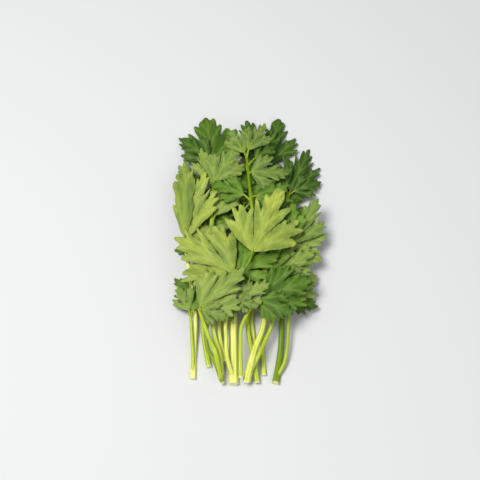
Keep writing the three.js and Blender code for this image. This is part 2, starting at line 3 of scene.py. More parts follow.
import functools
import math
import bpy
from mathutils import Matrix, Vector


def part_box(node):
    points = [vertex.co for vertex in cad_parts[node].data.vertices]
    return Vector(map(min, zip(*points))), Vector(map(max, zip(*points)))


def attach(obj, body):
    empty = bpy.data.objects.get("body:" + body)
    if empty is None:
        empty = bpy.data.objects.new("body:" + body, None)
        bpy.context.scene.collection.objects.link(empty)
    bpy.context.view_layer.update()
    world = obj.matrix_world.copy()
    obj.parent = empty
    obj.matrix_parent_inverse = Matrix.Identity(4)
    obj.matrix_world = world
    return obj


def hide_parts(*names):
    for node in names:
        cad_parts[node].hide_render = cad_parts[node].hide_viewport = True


bl_info = {
    "name": "Parsley bunch",
    "version": (1, 0, 0),
    "blender": (4, 5, 0),
    "location": "View3D > Sidebar > Parsley",
    "description": "Grows the leaflets and stalks of a bunch of cut flat-leaf parsley that lies on a table",
    "category": "Add Mesh",
}

from collections import namedtuple
from types import SimpleNamespace

import bpy
import numpy as np
from bpy.props import FloatProperty, FloatVectorProperty, IntProperty, PointerProperty
from mathutils import Vector
from mathutils.geometry import delaunay_2d_cdt

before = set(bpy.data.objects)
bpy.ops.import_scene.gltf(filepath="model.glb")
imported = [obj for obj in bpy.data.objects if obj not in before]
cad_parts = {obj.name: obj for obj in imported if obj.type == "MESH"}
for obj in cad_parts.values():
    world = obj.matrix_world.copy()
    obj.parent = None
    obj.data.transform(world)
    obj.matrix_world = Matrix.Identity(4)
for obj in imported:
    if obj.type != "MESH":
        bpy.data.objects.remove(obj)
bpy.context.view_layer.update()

MM = 0.001

# ---------- how the bunch is laid, in millimetres and degrees ----------
BLADE = 0.7  # thickness of a solid's leaflet
STEEPEST_BLADE = 0.62  # least upward part of a blade's normal when it is thickened
CLEARANCE = 0.7  # least height left between what lies crosswise
CELL = 0.5  # side of the squares that the pile's height is kept in
FIELD_X, FIELD_Y = 60, 95  # half the width and length of the ground
NECK_RADIUS = 0.75
STALK_STEP = 9  # distance between a stalk's rings
RING_HALF = math.sin(math.pi / 3)  # half the height of a six-sided ring, as a share of its radius
LYING = 12  # length of a stalk that lies flat behind its cut end
FORK_REACH = 26  # a fork may touch its own sprig over this length
LEAFLET_REACH = 8  # leaflets of one leaf may touch each other this near to their joint
DROOP, STEEPEST = -0.12, 0.25  # most fall and rise per mm that a leaflet takes by itself
FIRM = 0.8  # share of a leaflet's squares that its stiff shape clears; the rest bend it
NECK_FREE = 0.3  # first share of a leaflet's neck that its stalk's height looks after
LEAST_REACH = 3  # least length that a leaflet's slope is measured over
STEPS_PER_MM, SIDE_STEPS = 1.2, 1.5  # points along a stalk, and per square along a face's side
STALK_MARGIN = 0.2  # width kept clear beside a stalk
LIFTS, SETTLES, RING_LIFTS = 14, 300, 40  # rounds of lifting a leaflet, springing a stalk, lifting its rings
LEVEL = 0.01  # a stalk whose foot is lifted by less lies on the ground
LOBES = 3
MIDRIB = 2  # width over which a leaflet's fold is rounded
CURL_FROM = 0.35  # share of a leaflet's length at which its curl begins
WAVES = 3  # waves round a leaflet's edge
UNEVEN_ANGLE, UNEVEN_SHARE = 1.2, 0.05  # how far chance moves an outline's points
# Middle and range of a leaflet's rise per mm beside its midrib, of how strongly its tip bends down, and of
# its edge's waves as a share of its length.
FOLD, CURL, WAVE = (0.1, 0.04), (0.2, 0.1), (0.05, 0.02)
PHASES = 3  # range of where the waves begin, in radians
CHANCE_FACTOR, CHANCE_STEP, CHANCE_RANGE = 1664525, 1013904223, 2 ** 32
PILE_SEEDS, GROWTH_SEEDS = (101, 7, 5), (977, 31, 11)  # steps per stalk and per leaflet, and the first seed
# How far the bunch's rounded back falls at its sides and ends, its half width and length, its middle, and how
# late it falls.
BACK_FALL, BACK_HALF_WIDTH, BACK_END_FALL, BACK_MIDDLE, BACK_HALF_LENGTH = 9, 42, 5, 8, 70
SIDE_POWER, END_POWER = 2.5, 4

# Half of a leaflet's outline, from beside its tip to its lowest tooth, as (degrees from the midrib, share of
# the length). gap is the number of the point in the cut between the middle lobe and the side lobe. ribs are
# the middles of the middle lobe and of the side lobes, and rib_angle is where the side ribs stand.
Outline = namedtuple("Outline", "half gap ribs rib_angle")
OUTLINES = {
    "large": Outline(
        [(5, 0.91), (10, 0.9), (12, 0.71), (21, 0.79), (18, 0.23), (26, 0.64), (32, 0.61), (40, 0.73),
         (45, 0.64), (52, 0.7), (56, 0.54), (67, 0.59), (78, 0.3)],
        gap=4, ribs=(0.58, 0.42), rib_angle=47),
    "full": Outline(
        [(5, 0.94), (10, 0.93), (13, 0.82), (20, 0.87), (22, 0.6), (30, 0.82), (36, 0.74), (44, 0.82),
         (50, 0.66), (58, 0.7), (64, 0.54), (74, 0.56), (84, 0.3)],
        gap=4, ribs=(0.58, 0.42), rib_angle=47),
    "medium": Outline(
        [(6, 0.87), (12, 0.88), (15, 0.68), (24, 0.76), (19, 0.27), (28, 0.64), (35, 0.6), (44, 0.73),
         (50, 0.58), (63, 0.61), (76, 0.31)],
        gap=4, ribs=(0.58, 0.42), rib_angle=46),
    "small": Outline(
        [(8, 0.8), (19, 0.84), (21, 0.36), (40, 0.75), (47, 0.56), (63, 0.58), (75, 0.3)],
        gap=2, ribs=(0.56, 0.41), rib_angle=46),
    "long": Outline(
        [(2.5, 0.95), (5, 0.93), (5.5, 0.85), (9, 0.83), (9, 0.75), (12.5, 0.69), (15, 0.5), (20, 0.34),
         (27, 0.22)],
        gap=5, ribs=(0.6, 0.3), rib_angle=10),
}

# The stalks in the order in which they are laid. fork is the stalk and point that it forks from, radius that
# at its foot and its leaf, height the least of its leaf, arch how far the leaf follows the bunch's rounded
# back, and way its run seen from above. back is a leaflet's distance from the stalk's end, and side is -1 for
# one that shows its pale back.
Stalk = namedtuple("Stalk", "name sprig fork radius height arch way leaf")
Leaflet = namedtuple("Leaflet", "back heading length neck spread side outline", defaults=(1, "medium"))
STALKS = [
    Stalk("far_left", "sprig_01", None, (1.5, 1), 5, 0.25,
      [(-15, -70), (-15.4, -55), (-15.6, -40), (-17, 0), (-19, 30), (-20, 51)],
      [(0, 98, 30, 2.5, 0.92, 1, "full"), (0, 138, 24, 3, 0.7), (14, 152, 19, 5, 0.75),
       (14, 38, 22, 5, 0.75), (30, 30, 24, 6, 0.75), (30, 150, 20, 6, 0.75)]),
    Stalk("far_middle", "sprig_02", None, (1.4, 0.9), 5, 0.25,
      [(1, -70), (2, -55), (1, -40), (2, 0), (7, 26), (10, 46)],
      [(0, 78, 31, 6, 0.75, 1, "large"), (0, 108, 31, 6, 0.75, 1, "large"), (13, 142, 23, 6, 0.8),
       (13, 12, 23, 6, 0.8), (27, 28, 24, 6, 0.75), (27, 152, 22, 6, 0.75)]),
    Stalk("far_right", "sprig_03", None, (1.4, 0.9), 6, 0.4,
      [(4, -76.5), (0.5, -56), (-1, -41), (3, -12), (13, 12), (22, 31)],
      [(0, 68, 32, 2, 0.6, 1, "large"), (0, 26, 18, 3, 0.75), (0, 118, 23, 3, 0.7), (13, -14, 17, 5, 0.75),
       (12, 132, 18, 5, 0.75)]),
    Stalk("low_left", "sprig_04", None, (1.4, 0.9), 5, 0.4,
      [(-21, -68), (-24, -52), (-25, -35), (-26, -8), (-26, 12)],
      [(0, 97, 29, 3, 0.7, 1, "large"), (0, 150, 14, 3, 0.8), (0, 42, 25, 3, 0.75),
       (14, 178, 12, 3, 0.8, 1, "small"), (14, -8, 25, 5, 0.75), (28, 20, 20, 5, 0.75),
       (44, 138, 18, 3, 0.8)]),
    Stalk("inner", "sprig_13", None, (1.3, 0.9), 8, 0.4,
      [(-12.6, -66), (-15.4, -54), (-15.4, -40), (-10, -10), (-3, 21)],
      [(0, 83, 29, 2, 0.75, 1, "large"), (0, 138, 22, 3, 0.75), (0, 28, 25, 3, 0.8, 1, "large"),
       (13, -6, 20, 4, 0.75), (13, 168, 20, 4, 0.75)]),
    Stalk("low_right", "sprig_05", None, (1.3, 0.9), 6, 0.4,
      [(7.5, -72.5), (7, -62), (6.8, -50), (10, -30), (15, -6)],
      [(0, 80, 28, 3, 0.75, 1, "large"), (0, 28, 24, 3, 0.75), (0, 135, 25, 3, 0.75), (13, -28, 20, 5, 0.8),
       (13, 172, 21, 5, 0.75)]),
    Stalk("right", "sprig_06", None, (1.8, 1.1), 9, 0.7,
      [(13.4, -77), (16.2, -60), (17.4, -42), (20, -24), (22, -6)],
      [(0, 28, 21, 2, 0.8, -1, "large"), (0, 62, 30, 4, 0.6, -1, "large"), (0, 88, 24, 4, 0.55),
       (0, 128, 22, 4, 0.75), (4, -4, 16, 2, 0.85, -1)]),
    Stalk("right_low", "sprig_06", ("right", 4), (1.1, 0.8), 7, 0.7,
      [(17, -69), (19.3, -61), (20.2, -50), (20.5, -41), (21, -33)],
      [(0, -8, 15, 1, 0.85), (0, 46, 21, 2, 0.7, -1)]),
    Stalk("upper_left", "sprig_08", None, (1.5, 0.9), 12, 0.6,
      [(-14.8, -73), (-15.8, -62), (-18.7, -52), (-19.8, -40), (-21, -8), (-19.5, 33)],
      [(8, 18, 20, 4, 0.8), (24, 62, 24, 4, 0.6, -1), (0, 106, 27, 1, 0.5, -1),
       (0, 62, 28, 1, 0.7, -1, "large")]),
    Stalk("left", "sprig_07", None, (1.5, 1), 10, 0.7,
      [(-29.5, -74.5), (-29, -57), (-28.7, -40), (-31.5, -20), (-35, 0)],
      [(7, 32, 25, 3, 0.7, -1), (0, 75, 40, 2, 0.5, -1, "large"), (0, 91, 49, 2.5, 0.74, -1, "long")]),
    Stalk("left_low", "sprig_07", ("left", 3), (1, 0.8), 7, 0.7,
      [(-29.4, -64), (-30.2, -54), (-30.5, -46), (-31, -41)],
      [(0, 62, 20, 2, 0.6), (0, 113, 18, 2, 0.6, -1)]),
    Stalk("upper_middle", "sprig_09", None, (1.9, 0.75), 16, 0.5,
      [(-1.6, -76.5), (3.6, -58), (8, -43), (8, -15), (2, 14), (-1.5, 50)],
      [(5, 38, 14, 6, 0.8, 1, "small"), (0, 116, 21, 2, 0.55, -1, "large"),
       (0, 67, 24.5, 3, 0.55, -1, "large"), (11.5, 3, 21, 1.5, 0.85, -1, "large"), (25.5, -12, 21, 3, 0.8),
       (27.5, 158, 20, 4, 0.75)]),
    Stalk("lower_right", "sprig_09", ("upper_middle", 4), (1.2, 0.8), 11, 0.7,
      [(4.4, -65), (8, -56), (12, -46), (14, -33), (13, -21)],
      [(0, 33, 25, 1.5, 0.65, -1, "large"), (0, 88, 20, 3, 0.75), (2, -8, 20, 2, 0.75, -1)]),
    Stalk("middle", "sprig_10", None, (2.5, 1.6), 13, 0.6,
      [(-8.4, -77.5), (-8.4, -60), (-8.6, -43), (-8.6, -30), (-7.5, -21)],
      [(0, 74, 24, 3, 0.7), (0, 22, 22, 3, 0.85, 1, "large"), (0, 145, 39, 1, 0.82, -1, "large")]),
    Stalk("centre", "sprig_11", None, (1.1, 0.9), 19, 0.6,
      [(-14, -77), (-19, -66), (-23, -55), (-18, -40), (-10, -30), (-4.5, -24), (1.3, -15)],
      [(0, 71, 44.5, 0.5, 0.75, -1, "large")]),
    Stalk("near_right", "sprig_12", None, (1.2, 0.9), 13, 0.7,
      [(-4.6, -76), (-4.8, -60), (-3.6, -47), (4, -35)],
      [(0, 19, 28, 2.5, 0.7, 1, "full"), (0, -28, 20, 0.5, 0.7, 1, "full")]),
    Stalk("middle_low", "sprig_10", ("middle", 3), (1.3, 0.9), 14, 0.6,
      [(-10.9, -71), (-11.8, -62), (-12.4, -46), (-8, -37)],
      [(0, 25, 19, 2, 0.72, -1, "large"), (0, -14, 11.5, 2, 0.8, -1), (3, -92, 7, 1, 0.9, 1, "small")]),
    Stalk("near_left", "sprig_11", ("centre", 3), (1.4, 0.9), 14, 0.7,
      [(-17.2, -66), (-20.3, -58), (-24, -48), (-26.5, -40.5)],
      [(0, 39, 30, 1, 0.85, -1, "large"), (0, -24, 16, 1.5, 0.7, -1)]),
]


# ---------- lines and planes ----------
def lerp(a, b, t):
    return (1 - t) * a + t * b


def map_linear(x, a1, a2, b1, b2):
    return b1 + (x - a1) * (b2 - b1) / (a2 - a1)


def first_where(holds):
    return int(np.argmax(holds))


def quantile(values, share):
    return np.sort(values)[int(share * (len(values) - 1))]


def cross(u, v):
    """Twice the signed area between plan vectors."""
    return u[..., 0] * v[..., 1] - u[..., 1] * v[..., 0]


def corner_shares(points, a, b, c):
    """The shares of a triangle's three corners in each plan point."""
    area = cross(b - a, c - a)
    v, w = cross(points - a, c - a) / area, cross(b - a, points - a) / area
    return np.stack([1 - v - w, v, w], -1)


def surface_normals(xyz, faces):
    a, b, c = xyz[faces.T]
    face_normals = np.cross(b - a, c - a)
    normals = np.zeros_like(xyz)
    for k in range(3):
        np.add.at(normals, faces[:, k], face_normals)
    return normals / np.linalg.norm(normals, axis=1, keepdims=True)


def face_sides(faces):
    return np.concatenate([faces[:, [0, 1]], faces[:, [1, 2]], faces[:, [2, 0]]])


def distances(points, others):
    return np.sqrt(((points[:, None] - others[None]) ** 2).sum(2))


def side_lengths(line):
    return np.linalg.norm(np.diff(line, axis=0), axis=1)


def walked_along(line):
    """The distance along a line from its start to each of its points."""
    return np.concatenate([[0], np.cumsum(side_lengths(line))])


def along_line(line, distance):
    """The point at a distance along a line of points, and the line's direction there."""
    walked = walked_along(line)
    i = min(int(np.searchsorted(walked, distance, side="right")) - 1, len(line) - 2)
    direction = (line[i + 1] - line[i]) / side_lengths(line)[i]
    return line[i] + direction * (distance - walked[i]), direction


def curve_between(p, control, q, step):
    steps = max(2, math.ceil(math.hypot(*(q - p)) / step))
    t = (np.arange(steps + 1) / steps)[:, None]
    return (1 - t) ** 2 * p + 2 * t * (1 - t) * control + t ** 2 * q


def smooth_point(way, t):
    """A point at t of the smooth line through the way."""
    count = len(way)
    place = (count - 1) * t
    i = min(math.floor(place), count - 2)
    w = place - i
    p1, p2 = way[i], way[i + 1]
    p0 = way[i - 1] if i > 0 else 2 * way[0] - way[1]
    p3 = way[i + 2] if i + 2 < count else 2 * way[-1] - way[-2]
    t0, t1 = 0.5 * (p2 - p0), 0.5 * (p3 - p1)
    return p1 + t0 * w + (-3 * p1 + 3 * p2 - 2 * t0 - t1) * w ** 2 + (2 * p1 - 2 * p2 + t0 + t1) * w ** 3


def steps_along(way):
    """Points along a smooth line through the way, about one millimetre apart."""
    way = np.array(way, float)
    count = math.ceil(side_lengths(way).sum() * STEPS_PER_MM)
    return np.array([smooth_point(way, i / count) for i in range(count + 1)])


# ---------- one leaflet as it is laid ----------
def draws(seeds, stalk, leaflet):
    """A repeatable stream of numbers between -1 and 1 for one leaflet of a stalk."""
    state = seeds[0] * stalk + seeds[1] * leaflet + seeds[2]
    while True:
        state = (state * CHANCE_FACTOR + CHANCE_STEP) % CHANCE_RANGE
        yield state / CHANCE_RANGE * 2 - 1


def back_height(x, y):
    """Height of the bunch's rounded back, below its highest point."""
    side = np.abs(x) / BACK_HALF_WIDTH
    end = np.abs(y - BACK_MIDDLE) / BACK_HALF_LENGTH
    return -BACK_FALL * side ** SIDE_POWER - BACK_END_FALL * end ** END_POWER


def leaflet_plan(row, random):
    """The flat plan of a leaflet: points (across, along), ribs first and then the outline, and its faces."""
    half, gap, (centre, wing), rib_angle = OUTLINES[row.outline]

    def at(angle, share):
        a = math.radians(angle * row.spread)
        return math.sin(a) * share * row.length, math.cos(a) * share * row.length

    def side(sign):
        return [at(sign * (angle + UNEVEN_ANGLE * next(random)), share * (1 + UNEVEN_SHARE * next(random)))
                for angle, share in half]

    right = side(1)
    left = side(-1)
    ribs = [at(0, centre), at(rib_angle, wing), at(-rib_angle, wing)]
    points = [*ribs, (0, 0), *reversed(right), at(0, 1), *left]
    base, last = LOBES, len(points) - 1
    right_gap = base + len(half) - gap
    left_gap = base + len(half) + 2 + gap
    faces = [(base, 1, right_gap), (base, right_gap, 0), (base, 0, left_gap), (base, left_gap, 2)]
    for i in range(base, last):
        rib = 1 if i < right_gap else 0 if i < left_gap else 2
        faces.append((rib, i, i + 1))
    faces.append((2, last, base))
    return np.array(points), np.array(faces)


def seen_from_above(row, start, plan):
    """Where plan points of a leaflet stand: how far out they are from its joint, and their x and y."""
    a = math.radians(row.heading)
    across, out = plan[:, 0], plan[:, 1] + row.neck
    x = start[0] + math.cos(a) * out + math.sin(a) * across
    y = start[1] + math.sin(a) * out - math.cos(a) * across
    return out, x, y


def leaflet_at(row, start, arch, random):
    """A leaflet that leaves its stalk at start, with how far its stiff shape stands above the stalk."""
    plan, faces = leaflet_plan(row, random)
    fold, curl, wave = (middle + reach * next(random) for middle, reach in (FOLD, CURL, WAVE))
    phase = PHASES * next(random)

    def shape(across, along):
        reach = np.hypot(across, along) / row.length
        folded = row.side * fold * np.sqrt(across * across + MIDRIB ** 2)
        curled = -curl * row.length * np.maximum(0, reach - CURL_FROM) ** 2
        waved = wave * row.length * reach * reach * np.sin(WAVES * np.arctan2(across, along) + phase)
        return folded + curled + waved

    across, along = plan[:, 0], plan[:, 1]
    out, x, y = seen_from_above(row, start, plan)
    level = shape(0, 0) + arch * back_height(*start)
    xy = np.column_stack([x, y])
    squares, corners, shares = squares_under_faces(faces, xy)
    neck_squares, neck_shares = squares_under_neck(start, xy[LOBES])
    return SimpleNamespace(row=row, start=start, plan=plan, faces=faces, xy=xy, reach=np.hypot(out, across),
                           rise=shape(across, along) + arch * back_height(x, y) - level, squares=squares,
                           corners=corners, shares=shares, neck_squares=neck_squares, neck_shares=neck_shares)


# ---------- the pile ----------
COLUMNS, ROWS = int(2 * FIELD_X / CELL), int(2 * FIELD_Y / CELL)
Laid = namedtuple("Laid", "stalk index xyz radius rings walked leaflets")


def square_at(x, y):
    column = np.floor((x + FIELD_X) / CELL).astype(int)
    return np.floor((y + FIELD_Y) / CELL).astype(int) * COLUMNS + column


def squares_under_faces(faces, xy):
    """Every square that a face covers or touches, with the shares of the face's corners in its height."""
    squares, corners, shares = [], [], []
    for face in faces:
        low, high = np.floor(xy[face].min(0) / CELL).astype(int), np.floor(xy[face].max(0) / CELL).astype(int)
        ix, iy = np.meshgrid(np.arange(low[0], high[0] + 1), np.arange(low[1], high[1] + 1), indexing="ij")
        middles = (np.column_stack([ix.ravel(), iy.ravel()]) + 0.5) * CELL
        part = corner_shares(middles, *xy[face])
        inside = (part[:, 1] >= 0) & (part[:, 2] >= 0) & (part[:, 1] + part[:, 2] <= 1)
        found = [(middles[inside], part[inside])]
        for k in range(3):
            p, q = xy[face[k]], xy[face[(k + 1) % 3]]
            steps = math.ceil(SIDE_STEPS * math.hypot(*(q - p)) / CELL)
            t = np.arange(steps + 1) / steps
            part = np.zeros((steps + 1, 3))
            part[:, k], part[:, (k + 1) % 3] = 1 - t, t
            found.append((lerp(p, q, t[:, None]), part))
        for points, part in found:
            squares.append(square_at(*points.T))
            corners.append(np.tile(face, (len(points), 1)))
            shares.append(part)
    return np.concatenate(squares), np.concatenate(corners), np.concatenate(shares)


def squares_under_neck(start, base):
    steps = math.ceil(math.hypot(*(base - start)) / CELL)
    t = np.arange(steps + 1) / steps
    return square_at(*lerp(start, base, t[:, None]).T), t


def squares_across_stalk(xy, i, radius):
    dx, dy = xy[min(i + 1, len(xy) - 1)] - xy[max(i - 1, 0)]
    length = math.hypot(dx, dy)
    reach = radius + STALK_MARGIN
    steps = math.ceil(reach / CELL)
    offsets = (np.arange(2 * steps + 1) - steps) / steps * reach
    return square_at(xy[i, 0] - dy / length * offsets, xy[i, 1] + dx / length * offsets)


def blend(leaflet, values, chosen=slice(None)):
    return (values[leaflet.corners[chosen]] * leaflet.shares[chosen]).sum(1)


def upright_half(xyz, faces):
    """Half of a blade's upright thickness at each corner, for the same thickness square to it all over."""
    return BLADE / 2 / np.maximum(np.abs(surface_normals(xyz, faces)[:, 2]), STEEPEST_BLADE)


def sprung(least, flat, foot):
    """Heights of a stalk that springs from its lying length, or from a fork's foot, to its leaf."""
    last = len(least) - 1
    z = [max(least[i], map_linear(i, flat, last, least[flat], least[last])) for i in range(last + 1)]
    for i in range(flat + 1):
        z[i] = least[i] if foot is None else foot
    for _ in range(SETTLES):
        for i in range(flat + 1, last):
            z[i] = max(least[i], (z[i - 1] + z[i + 1]) / 2)
    return z


def lift_rings(z, least, rings, forked):
    """Lifts a stalk's rings until the straight runs between them clear what is below, and fills the runs."""
    runs = list(zip(rings, rings[1:]))
    for _ in range(RING_LIFTS):
        for first, end in runs:
            for i in range(first, end + 1):
                t = (i - first) / (end - first)
                short = least[i] - lerp(z[first], z[end], t)
                if short <= 0:
                    continue
                share = short / ((1 - t) ** 2 + t ** 2)
                if first > 0 or not forked:
                    z[first] += share * (1 - t)
                z[end] += share * t
    for first, end in runs:
        for i in range(first + 1, end):
            z[i] = map_linear(i, first, end, z[first], z[end])


class Pile:
    """The heights of what has been laid so far."""

    def __init__(self):
        self.top = np.full(COLUMNS * ROWS, -CLEARANCE)
        self.owner = np.full(COLUMNS * ROWS, -1)
        self.laid = {}

    def cover(self, squares, heights, index):
        before = self.top.copy()
        np.maximum.at(self.top, squares, heights)
        self.owner[self.top > before] = index

    def lay_leaflet(self, leaflet, z, index):
        """Bends a leaflet from its joint at height z over what lies below it."""
        faces, xy = leaflet.faces, leaflet.xy
        squares, reach = leaflet.squares, blend(leaflet, leaflet.reach)
        free = ~((self.owner[squares] == index) & (reach < LEAFLET_REACH))
        floor = self.top[squares[free]] + CLEARANCE
        short = floor + BLADE / 2 - z - blend(leaflet, leaflet.rise, free)
        slope = min(max(quantile(short / np.maximum(reach[free], LEAST_REACH), FIRM), DROOP), STEEPEST)
        heights = z + leaflet.rise + slope * leaflet.reach
        corners, shares = leaflet.corners[free], leaflet.shares[free]
        pull = shares / (shares ** 2).sum(1, keepdims=True)
        under, t = leaflet.neck_squares, leaflet.neck_shares
        held = (t > NECK_FREE) & (self.owner[under] != index)
        for _ in range(LIFTS):
            half = upright_half(np.column_stack([xy, heights]), faces)
            short = floor + blend(leaflet, half, free) - blend(leaflet, heights, free)
            lift = np.zeros(len(heights))
            np.maximum.at(lift, corners, np.maximum(short, 0)[:, None] * pull)
            neck_short = self.top[under] + CLEARANCE + NECK_RADIUS - lerp(z, heights[LOBES], t)
            lift[LOBES] = max([lift[LOBES], *(neck_short[held] / t[held])])
            heights = heights + lift
        half = upright_half(np.column_stack([xy, heights]), faces)
        self.cover(squares, blend(leaflet, heights + half), index)
        self.cover(under, lerp(z, heights[LOBES], t) + NECK_RADIUS, index)
        leaflet.z = heights

    def least_heights(self, stalk, across, below, walked):
        """How high each point of a stalk has to be above what lies below it."""
        kin = [laid.index for laid in self.laid.values() if laid.stalk.sprig == stalk.sprig]
        least = np.empty(len(across))
        for i, squares in enumerate(across):
            tops = self.top[squares]
            if stalk.fork and walked[i] < FORK_REACH:
                tops = np.where(np.isin(self.owner[squares], kin), -CLEARANCE, tops)
            least[i] = below[i] + CLEARANCE + tops.max()
        return least

    def lay_stalk(self, stalk, index):
        """Lays a stalk with its leaflets."""
        start = None
        if stalk.fork:
            origin, number = stalk.fork
            start = self.laid[origin].xyz[number]
        xy = steps_along([start[:2], *stalk.way] if stalk.fork else stalk.way)
        last = len(xy) - 1
        radius = lerp(*stalk.radius, np.arange(last + 1) / last)
        below = RING_HALF * radius
        across = [squares_across_stalk(xy, i, radius[i]) for i in range(last + 1)]
        walked = walked_along(xy)
        least = self.least_heights(stalk, across, below, walked)
        leaflets = []
        for k, row in enumerate(stalk.leaf):
            joint = first_where(walked[last] - walked <= row[0])
            leaflet = leaflet_at(Leaflet(*row), xy[joint], stalk.arch, draws(PILE_SEEDS, index, k))
            leaflet.joint = joint
            needs = (self.top[leaflet.squares] + CLEARANCE + BLADE / 2 - blend(leaflet, leaflet.rise)
                     - STEEPEST * blend(leaflet, leaflet.reach))
            neck = self.top[leaflet.neck_squares] + CLEARANCE + NECK_RADIUS
            least[joint] = max(least[joint], quantile(needs, FIRM), quantile(neck, NECK_FREE))
            leaflets.append(leaflet)
        least[last] = max(least[last], stalk.height)

        lying = first_where(walked > LYING)
        on_ground = not stalk.fork and least[:lying + 1].max() < below[0] + LEVEL
        z = sprung(least, lying if on_ground else 0, start[2] if stalk.fork else None)
        count = max(2, math.floor(walked[last] / STALK_STEP + 0.5))
        rings = [first_where(walked >= i * walked[last] / count) for i in range(count)] + [last]
        lift_rings(z, least, rings, stalk.fork)
        for leaflet in leaflets:
            self.lay_leaflet(leaflet, z[leaflet.joint], index)
        for i, squares in enumerate(across):
            self.cover(squares, np.full(len(squares), z[i] + below[i]), index)
        self.laid[stalk.name] = Laid(stalk, index, np.column_stack([xy, z]), radius, rings, walked, leaflets)


# ---------- what a user would change ----------
Length = functools.partial(FloatProperty, unit="LENGTH")
Colour = functools.partial(FloatVectorProperty, subtype="COLOR", size=3, min=0, max=1)


class ParsleySizes(bpy.types.PropertyGroup):
    """Sizes of the blades and stalks that are grown along the solids."""

    blade: Length(name="Blade", description="Thickness of a leaflet's blade", default=0.34 * MM)
    grain: Length(name="Grain", description="Distance between the points of a blade", default=0.7 * MM)
    ruffle: Length(name="Ruffle", description="How far a leaflet's edge waves", default=0.45 * MM)
    ridge: Length(name="Ridge", description="How far a vein stands out of the back", default=0.16 * MM)
    puff: Length(name="Puff", description="How far the blade swells between its veins", default=0.22 * MM)
    neck: Length(name="Neck", description="Radius of the neck that carries a leaflet", default=0.62 * MM)
    ribs: IntProperty(name="Ribs", description="Ribs round a stalk", default=6, min=3)
    groove: FloatProperty(name="Groove", description="Depth of the grooves as a share of the radius",
                          default=0.085, subtype="FACTOR", min=0, max=0.3)
    ring: Length(name="Ring", description="Distance between the rings of a stalk", default=0.9 * MM)


class ParsleyColours(bpy.types.PropertyGroup):
    """Colours of the leaflets and stalks."""

    face: Colour(name="Face", description="Upper side of a leaflet", default=(0.06, 0.13, 0.01))
    back: Colour(name="Back", description="Pale underside of a leaflet", default=(0.15, 0.222, 0.042))
    vein: Colour(name="Vein", description="Veins of a leaflet", default=(0.3, 0.39, 0.1))
    ripe: Colour(name="Ripe", description="Yellow that the warmest leaflets lean to",
                 default=(0.24, 0.28, 0.026))
    deep_stalk: Colour(name="Deep stalk", description="Greenest stalks", default=(0.13, 0.225, 0.001))
    stalk: Colour(name="Stalk", description="Stalk near its leaflets", default=(0.4, 0.5, 0.035))
    foot: Colour(name="Foot", description="Palest stalks near their cut end", default=(0.78, 0.8, 0.19))
    cut: Colour(name="Cut", description="Face of a cut end", default=(0.72, 0.74, 0.42))


# ---------- the edge of a leaflet ----------
# Least turns in radians of a notch, of a tip that a vein runs to, and of the cleft between two lobes.
NOTCH_TURN, TIP_TURN, CLEFT_TURN = 0.3, 0.45, 2.2
CLEFT, NOTCH, POINT = 0.86, 0.96, 1.015  # how far out the clefts, notches and tips are grown
EDGE_STEP = 0.45  # millimetres between the points of an outline
TOOTH, TOOTH_RISE = 2.2, 0.42  # millimetres of outline that a small tooth takes, and how far it stands out
TOOTH_STEEP, TEETH = 3, 2.2  # how much steeper a tooth's one side is, and how many stand beside a tip
BULGE, MOST_BULGE = 0.2, 0.03  # how far a lobe's side swells: share of its length, and most of the leaflet's
CLEFT_BULGE, UNEVEN_BULGE = 0.6, 0.4  # share of it beside a cleft, and how far chance moves it
CROWN = 27 / 4  # makes a swelling's highest point 1
STRENGTHS = (1, 0.5, 0.2, 0)  # shares of bulges and teeth that are tried until no sides cross
ROUNDING, ROUNDING_SHARE = 7, 0.5  # how often the edge is smoothed, and how far each time
SIDE_YIELD, NOTCH_YIELD = 0.9, 0.2  # how far a point gives way to it


def corner_turns(corners):
    """How far an outline turns at each corner, in radians: left at a tip, and right at a notch."""
    ahead = np.roll(corners, -1, 0) - corners
    angle = np.arctan2(ahead[:, 1], ahead[:, 0])
    return (angle - np.roll(angle, 1) + math.pi) % (2 * math.pi) - math.pi


def crosses_itself(loop):
    """Whether any two sides of a closed loop cross."""
    after = np.roll(loop, -1, 0)
    ahead = (after - loop)[:, None]
    splits = cross(ahead, loop[None] - loop[:, None]) * cross(ahead, after[None] - loop[:, None]) < 0
    return bool((splits & splits.T).any())


def toothed_outline(corners, random):
    """The leaflet's edge in its own plan, with bulging sides, small teeth and narrow tips."""
    turn = corner_turns(corners)
    notched = np.where(turn < -CLEFT_TURN, CLEFT, NOTCH)
    depth = np.where(turn < -NOTCH_TURN, notched, np.where(turn > TIP_TURN, POINT, 1))
    swell = [1 + UNEVEN_BULGE * next(random) for _ in corners]
    for strength in STRENGTHS:
        grown = lerp(corners, corners * depth[:, None], min(1, 2 * strength))
        outline = edge_points(grown, turn, swell, strength)
        if not crosses_itself(outline):
            break
    return outline


